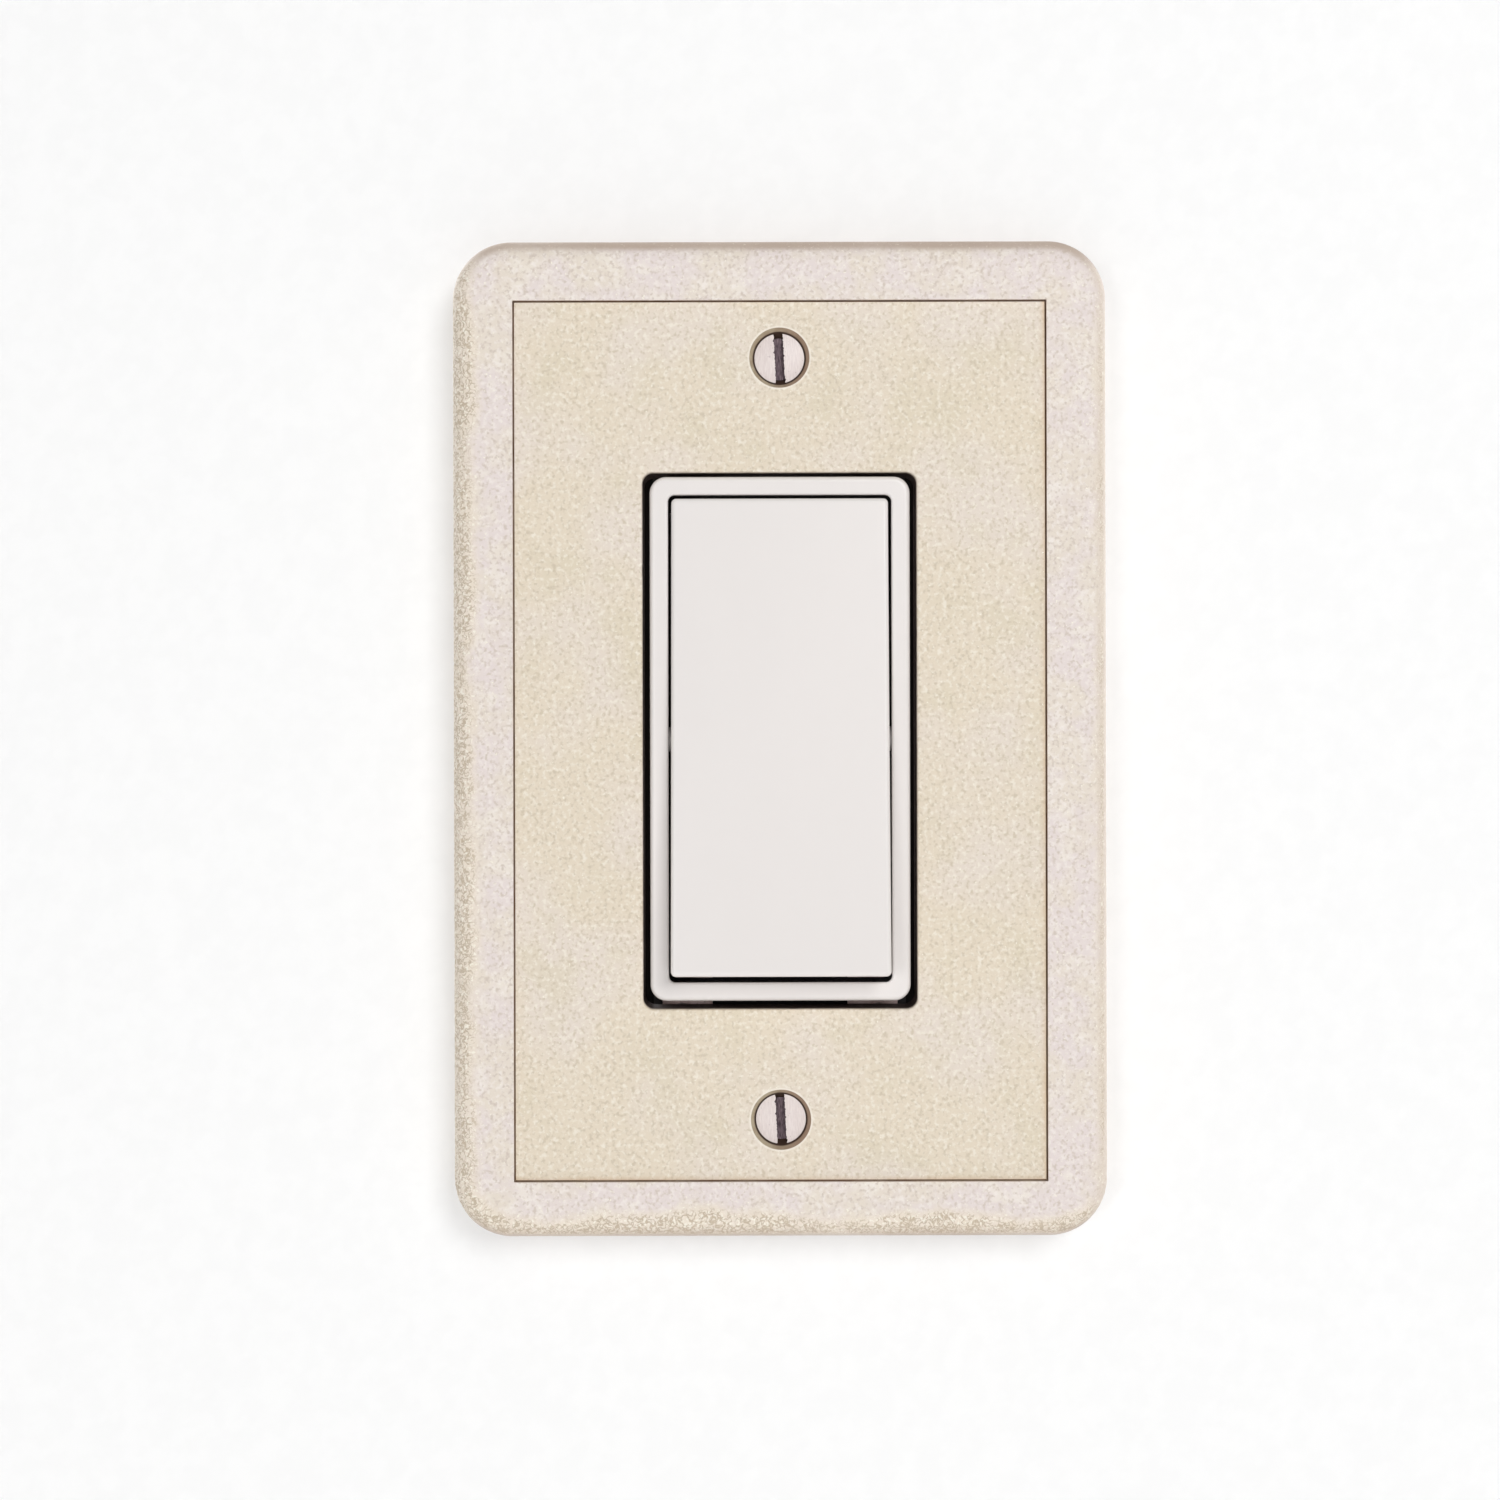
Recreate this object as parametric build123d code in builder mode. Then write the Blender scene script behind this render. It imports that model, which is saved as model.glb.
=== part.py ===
"""Single-gang rocker wall switch with a cast-stone wall plate, in millimetres.

Frame: +X is right, +Z is up and +Y points into the wall. The origin is in the wall's
surface, at the middle of the switch. A height is a distance out of the wall's surface
into the room, and a depth is a distance behind that surface, inside the wall box.

The paddle, the spring plunger and the contact rocker are modelled as they rest when the
switch is on: the paddle's top is pressed in and the lower contact is closed.
"""

import os
from math import cos, radians, sin, tan

from build123d import *

# Standard spacings of a single-gang device
plate_screw_spacing = 96.84
device_screw_spacing = 83.3

# Wall plate
plate_width = 83.6
plate_length = 127.3
plate_corner_radius = 7.5
plate_edge_radius = 3.0
rim_height = 8.4
rim_seat_width = 5.3
panel_width = 67.8
panel_length = 111.9
panel_height = 7.9
panel_drop = 0.28
opening_width = 34.92
opening_length = 68.3
opening_corner_radius = 1.4
opening_shift = -0.03
opening_drop = 0.26
hollow_height = 2.0
hollow_corner_radius = 4.0
boss_radius = 3.1
head_pocket_radius = 3.7
head_pocket_height = 3.6

# Wall plate screws, 6-32 oval head
plate_hole_radius = 2.1
countersink_radius = 3.85
countersink_half_angle = 41.0
oval_head_radius = 3.12
oval_head_recess = 0.7
oval_head_rise = 0.4
plate_shank_radius = 1.7
plate_shank_depth = 4.5
tip_chamfer = 0.5
plate_slot_width = 1.16
plate_slot_depth = 1.0
plate_slot_lean = 2.8

# Mounting strap
strap_thickness = 1.3
strap_length = 106.4
strap_width = 33.4
ear_width = 42.0
ear_length = 9.2
ear_corner_radius = 2.0
window_width = 28.6
window_length = 62.0
notch_width = 17.6
notch_length = 73.0
waist_notch_depth = 1.4
waist_notch_length = 6.0
waist_notch_row = 33.3
mounting_slot_width = 4.0
mounting_slot_length = 7.2
thread_clearance = 0.03
ground_tab_thickness = 1.3
ground_tab_length = 5.4
ground_tab_middle = -41.2
ground_tab_depth = 9.2
ground_tab_bend = 0.65

# Front frame, the fixed bezel round the paddle
frame_width = 33.2
frame_length = 66.85
frame_corner_radius = 2.1
frame_height = 7.4
frame_opening_width = 28.45
frame_opening_length = 62.1
frame_opening_corner_radius = 0.85
frame_outer_edge_radius = 0.7
frame_inner_edge_radius = 0.35
latch_width = 15.0
latch_thickness = 1.6
latch_depth = 7.0
latch_lip = 0.6
latch_lip_length = 1.4
latch_clearance = 0.15
bearing_radius = 1.65
bearing_reach = 15.9

# Rocker paddle
hinge_height = 4.8
paddle_tilt = 4.75
paddle_width = 27.62
paddle_length = 60.6
paddle_corner_radius = 0.65
paddle_edge_radius = 0.6
face_middle = 4.9
face_end = 5.5
skirt_edge = -1.8
paddle_wall = 1.6
paddle_ceiling = 2.9
rib_thickness = 1.2
rib_edge = 0.6
rib_spacing = 15.0
trunnion_radius = 1.6
trunnion_reach = 15.7

# Spring post, contact spring and plunger, as distances down the post from the hinge
post_radius = 3.6
post_bore_radius = 2.3
post_end = 8.5
post_bore_top = -2.0
spring_radius = 1.85
spring_wire_radius = 0.25
spring_turns = 7
plunger_back = 6.5
pilot_radius = 1.35
pilot_length = 1.5
plunger_radius = 2.23
plunger_taper_start = 12.0
plunger_tip_radius = 1.5
plunger_tip = 17.5

# Contact rocker, a V-shaped see-saw, with heights measured from its fulcrum
fulcrum_depth = 15.5
rocker_tilt = 8.0
rocker_width = 6.0
rocker_half_length = 12.0
rocker_thickness = 1.0
rocker_plane_height = 2.82
rocker_groove_height = 2.70
rocker_groove_radius = 2.2
rocker_ear_thickness = 0.8
rocker_ear_radius = 0.6
contact_radius = 1.6
contact_place = 10.5
contact_thickness = 0.8
contact_edge_radius = 0.25
contact_gap = 0.02

# Rear housing
flange_width = 33.0
flange_length = 66.0
flange_depth = 4.0
flange_ear_width = 7.5
flange_ear_end = 38.3
body_width = 32.4
body_length = 63.0
body_corner_radius = 1.5
body_edge_radius = 1.0
housing_depth = 23.0
floor_thickness = 1.6
cavity_width = 29.8
cavity_length = 59.4
corner_post_width = 2.4
corner_post_length = 3.2
corner_post_bite = 0.2
terminal_post_width = 5.0
saddle_post_inset = 0.5
rocker_stop_width = 2.0
side_rib_height = 0.3
side_rib_width = 1.2
side_rib_rows = (-19.0, -9.5, 0.0, 9.5, 19.0)
back_recess_width = 11.0
back_recess_length = 26.0
back_recess_corner = 1.2
back_recess_depth = 0.4
latch_pocket_depth = 0.7
terminal_place = 14.0
pocket_width = 9.4
pocket_top = 5.5
pocket_bottom = 17.6
pocket_floor = 13.2
pocket_wall = 1.2
tongue_clearance = 0.05
screw_hole_clearance = 0.3
wire_hole_radius = 1.1
wire_hole_columns = (6.8, 10.4)
wire_hole_row = 19.8
wire_boss_radius = 1.7
wire_boss_top = 20.2
release_slot_row = 22.8
release_slot_length = 3.4
release_slot_width = 0.9
strip_gauge_length = 12.0
strip_gauge_width = 1.6
strip_gauge_depth = 0.4

# Switch deck, the inner cover under the paddle
deck_depth = 1.0
deck_thickness = 1.6
deck_width = 29.6
deck_length = 59.2
deck_rim_width = 0.8
stop_height = 0.5
stop_length = 1.0
stop_width = 24.0
deck_slot_width = 8.0
deck_slot_length = 10.4
deck_slot_corner_radius = 3.9

# Terminals
terminal_thickness = 1.0
terminal_plate_width = 8.6
terminal_plate_top = 6.0
load_strip_depth = 15.4
common_strip_depth = 16.5
tongue_width = 6.0
inner_plate_left = 5.0
inner_plate_right = 12.0
inner_plate_near = 8.0
inner_plate_far = 18.5
wire_leg_end = 20.0
saddle_radius = 0.65
saddle_width = 7.8
saddle_length = 3.6
common_arm_width = 3.3
load_arm_overhang = 1.0

# Screws, washers and rivets behind the plate
driver_slot_width = 1.1
driver_slot_depth = 1.0
driver_slot_length = 20.0
terminal_screw_depth = 11.0
terminal_head_radius = 3.6
terminal_head_height = 2.6
terminal_head_edge = 0.65
terminal_shank_radius = 1.9
terminal_shank_end = 8.5
ground_screw_depth = 5.2
ground_head_across = 7.2
ground_head_height = 2.8
ground_head_chamfer = 0.35
ground_shank_radius = 2.05
ground_shank_end = -9.5
mounting_head_radius = 3.4
mounting_head_height = 1.9
mounting_head_edge = 0.95
mounting_neck_radius = 1.45
mounting_neck_depth = 1.4
mounting_thread_radius = 1.75
mounting_tip_depth = 22.0
washer_size = 8.4
washer_thickness = 0.8
washer_corner_radius = 1.0
washer_hole_radius = 1.5
rivet_x = 12.8
rivet_z = 36.2
rivet_hole_radius = 1.3
rivet_shank_radius = 1.25
rivet_head_radius = 1.9
rivet_head_height = 0.6
rivet_tail_radius = 1.8

# Wire clamp springs
clamp_thickness = 0.35
clamp_base_row = 24.6
clamp_base_depth = 20.4
clamp_bend_depth = 16.6
clamp_free_row = 18.9
clamp_free_depth = 19.4
clamp_slit_width = 0.5
clamp_slit_length = 7.6
clamp_bend_radius = 0.7
clamp_rib_thickness = 1.4

# Worked out from the dimensions above
ends = (1, -1)
plate_screw_rows = [end * plate_screw_spacing / 2 for end in ends]
device_screw_rows = [end * device_screw_spacing / 2 for end in ends]
corners = [(hand, end) for hand in ends for end in ends]
rivet_places = [(hand * rivet_x, end * rivet_z) for hand, end in corners]
hinge = Vector(0, -hinge_height, 0)
tilt_sine, tilt_cosine = sin(radians(paddle_tilt)), cos(radians(paddle_tilt))
face_up = Vector(0, tilt_sine, tilt_cosine)
face_out = Vector(0, -tilt_cosine, tilt_sine)
rocker_sine, rocker_cosine = sin(radians(rocker_tilt)), cos(radians(rocker_tilt))
rocker_up = Vector(0, -rocker_sine, rocker_cosine)
cavity_floor = housing_depth - floor_thickness
inner_plate_middle = (inner_plate_left + inner_plate_right) / 2
inner_plate_width = inner_plate_right - inner_plate_left
closed_rocker_depth = fulcrum_depth - rocker_plane_height * rocker_cosine + rocker_thickness
moving_contact_face = closed_rocker_depth + contact_thickness


def front(height):
    """A plane parallel to the wall that faces the room: local x is right, local y is up."""
    return Plane(origin=(0, -height, 0), x_dir=(1, 0, 0), z_dir=(0, -1, 0))


def side(x):
    """A plane across the switch that faces right: local x is up, local y is the height."""
    return Plane(origin=(x, 0, 0), x_dir=(0, 0, 1), z_dir=(1, 0, 0))


def turning_plane(x, z):
    """A plane to turn a profile in: local x is the radius, local y the height."""
    return Plane(origin=(x, 0, z), x_dir=(1, 0, 0), z_dir=(0, 0, -1))


def turning_axis(x, z):
    """The line square to the wall through x and z."""
    return Axis((x, 0, z), (0, 1, 0))


def down_post(distance):
    """A plane square to the spring post, that far from the hinge, facing down the post."""
    return Plane(origin=hinge - face_out * distance, x_dir=(1, 0, 0), z_dir=-face_out)


def rocker_side(x):
    """As side(x), but from the fulcrum and tilted with the closed contact rocker."""
    return Plane(origin=(x, fulcrum_depth, 0), x_dir=rocker_up, z_dir=(1, 0, 0))


# The wall plate: a slab of cast stone with a sunk panel, hollowed behind for the strap.
with BuildPart() as wall_plate:
    with BuildSketch(front(0)):
        RectangleRounded(plate_width, plate_length, plate_corner_radius)
    extrude(amount=rim_height)
    fillet(wall_plate.faces().sort_by(Axis.Y)[0].edges(), plate_edge_radius)
    with BuildSketch(front(panel_height)):
        with Locations((0, -panel_drop)):
            Rectangle(panel_width, panel_length)
    extrude(amount=rim_height - panel_height, mode=Mode.SUBTRACT)
    with BuildSketch(front(0)):
        RectangleRounded(
            plate_width - 2 * rim_seat_width,
            plate_length - 2 * rim_seat_width,
            hollow_corner_radius,
        )
    extrude(amount=hollow_height, mode=Mode.SUBTRACT)
    with BuildSketch(front(0)):
        with Locations(*[(0, row) for row in device_screw_rows]):
            Circle(head_pocket_radius)
    extrude(amount=head_pocket_height, mode=Mode.SUBTRACT)
    with BuildSketch(front(strap_thickness)):
        with Locations(*[(0, row) for row in plate_screw_rows]):
            Circle(boss_radius)
    extrude(amount=head_pocket_height - strap_thickness)
    with BuildSketch(front(0)):
        with Locations((opening_shift, -opening_drop)):
            RectangleRounded(opening_width, opening_length, opening_corner_radius)
    extrude(amount=rim_height, mode=Mode.SUBTRACT)
    with Locations(*[front(panel_height) * Location((0, row, 0)) for row in plate_screw_rows]):
        CounterSinkHole(
            plate_hole_radius,
            countersink_radius,
            counter_sink_angle=2 * countersink_half_angle,
        )

# Two slotted oval-head screws, sunk in the plate and turned into the strap.
with BuildPart() as wall_plate_screws:
    head_edge = panel_height - oval_head_recess
    head_top = head_edge + oval_head_rise
    head_cone = (oval_head_radius - plate_shank_radius) / tan(radians(countersink_half_angle))
    head_curve = (oval_head_radius**2 + oval_head_rise**2) / (2 * oval_head_rise)
    for row in plate_screw_rows:
        with BuildSketch(turning_plane(0, row)):
            with BuildLine():
                Polyline(
                    (0, head_top),
                    (0, -plate_shank_depth),
                    (plate_shank_radius - tip_chamfer, -plate_shank_depth),
                    (plate_shank_radius, tip_chamfer - plate_shank_depth),
                    (plate_shank_radius, head_edge - head_cone),
                    (oval_head_radius, head_edge),
                )
                RadiusArc((0, head_top), (oval_head_radius, head_edge), head_curve)
            make_face()
        revolve(axis=turning_axis(0, row))
    with BuildSketch(front(head_top - plate_slot_depth)):
        with Locations(*[(0, row) for row in plate_screw_rows]):
            Rectangle(plate_slot_width, driver_slot_length, rotation=plate_slot_lean)
    extrude(amount=plate_slot_depth, mode=Mode.SUBTRACT)

# The mounting strap: a plated steel yoke with plaster ears and a bent grounding tab.
with BuildPart() as mounting_strap:
    with BuildSketch(front(0)):
        Rectangle(strap_width, strap_length - ear_length)
        with Locations(*[(0, end * (strap_length - ear_length) / 2) for end in ends]):
            RectangleRounded(ear_width, ear_length, ear_corner_radius)
        Rectangle(window_width, window_length, mode=Mode.SUBTRACT)
        Rectangle(notch_width, notch_length, mode=Mode.SUBTRACT)
        with Locations(*[(hand * strap_width / 2, end * waist_notch_row) for hand, end in corners]):
            Rectangle(2 * waist_notch_depth, waist_notch_length, mode=Mode.SUBTRACT)
        with Locations(*[(0, row) for row in device_screw_rows]):
            SlotOverall(mounting_slot_length, mounting_slot_width, mode=Mode.SUBTRACT)
        with Locations(*[(0, row) for row in plate_screw_rows]):
            Circle(plate_shank_radius + thread_clearance, mode=Mode.SUBTRACT)
        with Locations(*rivet_places):
            Circle(rivet_hole_radius, mode=Mode.SUBTRACT)
    extrude(amount=strap_thickness)
    with BuildSketch(front(strap_thickness)):
        with Locations(((ground_tab_thickness - strap_width) / 2, ground_tab_middle)):
            Rectangle(ground_tab_thickness, ground_tab_length)
    extrude(amount=-(strap_thickness + ground_tab_depth))
    tab_corners = mounting_strap.edges().filter_by(Axis.Z).filter_by_position(
        Axis.Z, ground_tab_middle - ground_tab_bend, ground_tab_middle + ground_tab_bend
    )
    fillet(tab_corners.group_by(Axis.X)[0].sort_by(Axis.Y)[0], ground_tab_bend)
    with BuildSketch(side(-strap_width / 2)):
        with Locations((ground_tab_middle, -ground_screw_depth)):
            Circle(ground_shank_radius + thread_clearance)
    extrude(amount=ground_tab_thickness, mode=Mode.SUBTRACT)

# The front frame: the fixed bezel, which holds the paddle's bearings and snaps to the housing.
with BuildPart() as front_frame:
    with BuildSketch(front(strap_thickness)):
        RectangleRounded(frame_width, frame_length, frame_corner_radius)
        RectangleRounded(
            frame_opening_width,
            frame_opening_length,
            frame_opening_corner_radius,
            mode=Mode.SUBTRACT,
        )
    extrude(amount=frame_height - strap_thickness)
    rim = front_frame.faces().sort_by(Axis.Y)[0]
    fillet(rim.outer_wire().edges(), frame_outer_edge_radius)
    rim = front_frame.faces().sort_by(Axis.Y)[0]
    fillet(rim.inner_wires()[0].edges(), frame_inner_edge_radius)
    latch_row = (frame_length - latch_thickness) / 2
    with BuildSketch(front(strap_thickness)):
        with Locations(*[(0, end * latch_row) for end in ends]):
            Rectangle(latch_width, latch_thickness)
    extrude(amount=-(strap_thickness + latch_depth))
    lip_row = frame_length / 2 - latch_thickness - latch_lip / 2
    with BuildSketch(front(latch_lip_length - latch_depth)):
        with Locations(*[(0, end * lip_row) for end in ends]):
            Rectangle(latch_width, latch_lip)
    extrude(amount=-latch_lip_length)
    with BuildSketch(side(0)):
        with Locations((0, hinge_height)):
            Circle(bearing_radius)
    extrude(amount=bearing_reach, both=True, mode=Mode.SUBTRACT)

# The rocker paddle: a dished face with a skirt, ribs, two trunnions and a hollow spring post.
with BuildPart() as rocker_paddle:
    half_length = paddle_length / 2
    paddle_side = Plane(origin=hinge, x_dir=face_up, z_dir=(1, 0, 0))
    with BuildSketch(paddle_side):
        with BuildLine():
            Polyline(
                (-half_length, face_end),
                (-half_length, skirt_edge),
                (half_length, skirt_edge),
                (half_length, face_end),
            )
            ThreePointArc((half_length, face_end), (0, face_middle), (-half_length, face_end))
        make_face()
    extrude(amount=paddle_width / 2, both=True)
    fillet(rocker_paddle.edges().filter_by(Axis(hinge, face_out)), paddle_corner_radius)
    fillet(rocker_paddle.faces().sort_by(Axis(hinge, face_out))[-1].edges(), paddle_edge_radius)
    with BuildSketch(down_post(-paddle_ceiling)):
        Rectangle(paddle_width - 2 * paddle_wall, paddle_length - 2 * paddle_wall)
    extrude(amount=paddle_ceiling - skirt_edge, mode=Mode.SUBTRACT)
    with BuildSketch(down_post(-paddle_ceiling)):
        for hand in ends:
            with Locations((hand * rib_spacing / 2, 0)):
                Rectangle(rib_thickness, paddle_length - 2 * paddle_wall)
            with Locations((0, hand * rib_spacing)):
                Rectangle(paddle_width - 2 * paddle_wall, rib_thickness)
        Circle(post_radius, mode=Mode.SUBTRACT)
    extrude(amount=paddle_ceiling - rib_edge)
    with BuildSketch(down_post(-paddle_ceiling)):
        Circle(post_radius)
    extrude(amount=paddle_ceiling + post_end)
    with BuildSketch(down_post(post_bore_top)):
        Circle(post_bore_radius)
    extrude(amount=post_end - post_bore_top, mode=Mode.SUBTRACT)
    for hand in ends:
        trunnion_root = paddle_width / 2 - paddle_wall
        with BuildSketch(side(hand * trunnion_root)):
            with Locations((0, hinge_height)):
                Circle(trunnion_radius)
        extrude(amount=hand * (trunnion_reach - trunnion_root))

# The contact spring, coiled in the post's bore between its end and the plunger.
with BuildPart() as contact_spring:
    coil_height = plunger_back - post_bore_top - 2 * spring_wire_radius
    with BuildLine() as coil:
        Helix(
            coil_height / spring_turns,
            coil_height,
            spring_radius,
            center=hinge - face_out * (post_bore_top + spring_wire_radius),
            direction=-face_out,
        )
    with BuildSketch(Plane(origin=coil.line @ 0, z_dir=coil.line % 0)):
        Circle(spring_wire_radius)
    sweep(path=coil.line, is_frenet=True)

# The spring plunger, turned from one rod, with a pilot inside the spring and a round tip.
with BuildPart() as spring_plunger:
    tip_centre = plunger_tip - plunger_tip_radius
    with BuildSketch(Plane(origin=hinge, x_dir=(1, 0, 0), z_dir=face_up)):
        with BuildLine():
            Polyline(
                (0, plunger_tip),
                (0, plunger_back - pilot_length),
                (pilot_radius, plunger_back - pilot_length),
                (pilot_radius, plunger_back),
                (plunger_radius, plunger_back),
                (plunger_radius, plunger_taper_start),
                (plunger_tip_radius, tip_centre),
            )
            CenterArc((0, tip_centre), plunger_tip_radius, 0, 90)
        make_face()
    revolve(axis=Axis(hinge, face_out))

# The contact rocker: a shallow V of brass on two ears, with a groove for the plunger.
with BuildPart() as contact_rocker:
    end_height = rocker_plane_height + rocker_half_length * tan(radians(rocker_tilt))
    rocker_drop = rocker_thickness / rocker_cosine
    with BuildSketch(rocker_side(0)):
        Polygon(
            (0, rocker_plane_height),
            (rocker_half_length, end_height),
            (rocker_half_length, end_height - rocker_drop),
            (0, rocker_plane_height - rocker_drop),
            (-rocker_half_length, end_height - rocker_drop),
            (-rocker_half_length, end_height),
            align=None,
        )
        with Locations((0, rocker_groove_height + rocker_groove_radius)):
            Circle(rocker_groove_radius, mode=Mode.SUBTRACT)
    extrude(amount=rocker_width / 2, both=True)
    for hand in ends:
        ear_top = rocker_plane_height - rocker_thickness / 2
        with BuildSketch(rocker_side(hand * (rocker_width / 2 - rocker_ear_thickness))):
            Circle(rocker_ear_radius)
            with Locations((0, ear_top / 2)):
                Rectangle(2 * rocker_ear_radius, ear_top)
        extrude(amount=hand * rocker_ear_thickness)

# The two silver contacts, closed: one on the contact rocker, one on the load terminal.
with BuildPart() as moving_contact:
    with BuildSketch(front(-closed_rocker_depth)):
        with Locations((0, -contact_place)):
            Circle(contact_radius)
    extrude(amount=-contact_thickness)
    fillet(moving_contact.faces().sort_by(Axis.Y)[-1].edges(), contact_edge_radius)

with BuildPart() as fixed_contact:
    with BuildSketch(front(-load_strip_depth)):
        with Locations((0, -contact_place)):
            Circle(contact_radius)
    extrude(amount=load_strip_depth - moving_contact_face - contact_gap)
    fillet(fixed_contact.faces().sort_by(Axis.Y)[0].edges(), contact_edge_radius)

# The stamping that both terminals start from: a side plate in the housing's pocket, a
# tongue through the pocket's floor, and an inner plate with a leg that the wires press on.
terminal_blanks = {}
for end, strip_depth in ((1, common_strip_depth), (-1, load_strip_depth)):
    strip_bottom = strip_depth + terminal_thickness
    side_plate_length = strip_bottom - terminal_plate_top
    with BuildPart() as terminal_blank:
        with BuildSketch(side(pocket_floor)):
            with Locations((end * terminal_place, -(terminal_plate_top + strip_bottom) / 2)):
                Rectangle(terminal_plate_width, side_plate_length)
            with Locations((end * terminal_place, -terminal_screw_depth)):
                Circle(terminal_shank_radius + thread_clearance, mode=Mode.SUBTRACT)
        extrude(amount=terminal_thickness)
        fillet(terminal_blank.edges().filter_by(Axis.Z).sort_by(Axis.Y)[-1], terminal_thickness / 2)
        tongue_length = pocket_floor - inner_plate_right + terminal_thickness / 2
        inner_plate_row = end * (inner_plate_near + inner_plate_far) / 2
        with BuildSketch(front(-strip_depth)):
            with Locations((inner_plate_right + tongue_length / 2, end * terminal_place)):
                Rectangle(tongue_length, tongue_width)
            with Locations((inner_plate_middle, inner_plate_row)):
                Rectangle(inner_plate_width, inner_plate_far - inner_plate_near)
        extrude(amount=-terminal_thickness)
        with BuildSketch(front(-strip_depth)):
            with Locations((inner_plate_middle, end * (inner_plate_far - terminal_thickness / 2))):
                Rectangle(inner_plate_width, terminal_thickness)
        extrude(amount=strip_depth - wire_leg_end)
    terminal_blanks[end] = terminal_blank.part

# The load terminal, with the arm that carries the fixed contact.
with BuildPart() as load_terminal:
    add(terminal_blanks[-1])
    load_arm_length = inner_plate_left + contact_radius + load_arm_overhang
    with BuildSketch(front(-load_strip_depth)):
        with Locations((inner_plate_left - load_arm_length / 2, -contact_place)):
            Rectangle(load_arm_length, 2 * (contact_place - inner_plate_near))
    extrude(amount=-terminal_thickness)

# The common terminal, with the arm to the saddle that the contact rocker turns in.
with BuildPart() as common_terminal:
    add(terminal_blanks[1])
    with BuildSketch(front(-common_strip_depth)):
        with Locations((saddle_width / 2 - common_arm_width / 2, contact_place / 2)):
            Rectangle(common_arm_width, contact_place)
        with Locations((inner_plate_left - saddle_width / 4, contact_place)):
            Rectangle(saddle_width / 2, 2 * (contact_place - inner_plate_near))
        Rectangle(saddle_width, saddle_length)
    extrude(amount=-terminal_thickness)
    with BuildSketch(front(-common_strip_depth)):
        Rectangle(saddle_width, saddle_length)
    extrude(amount=common_strip_depth - fulcrum_depth)
    with BuildSketch(side(0)):
        with Locations((0, -fulcrum_depth)):
            Circle(saddle_radius)
    extrude(amount=saddle_width, both=True, mode=Mode.SUBTRACT)

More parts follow.
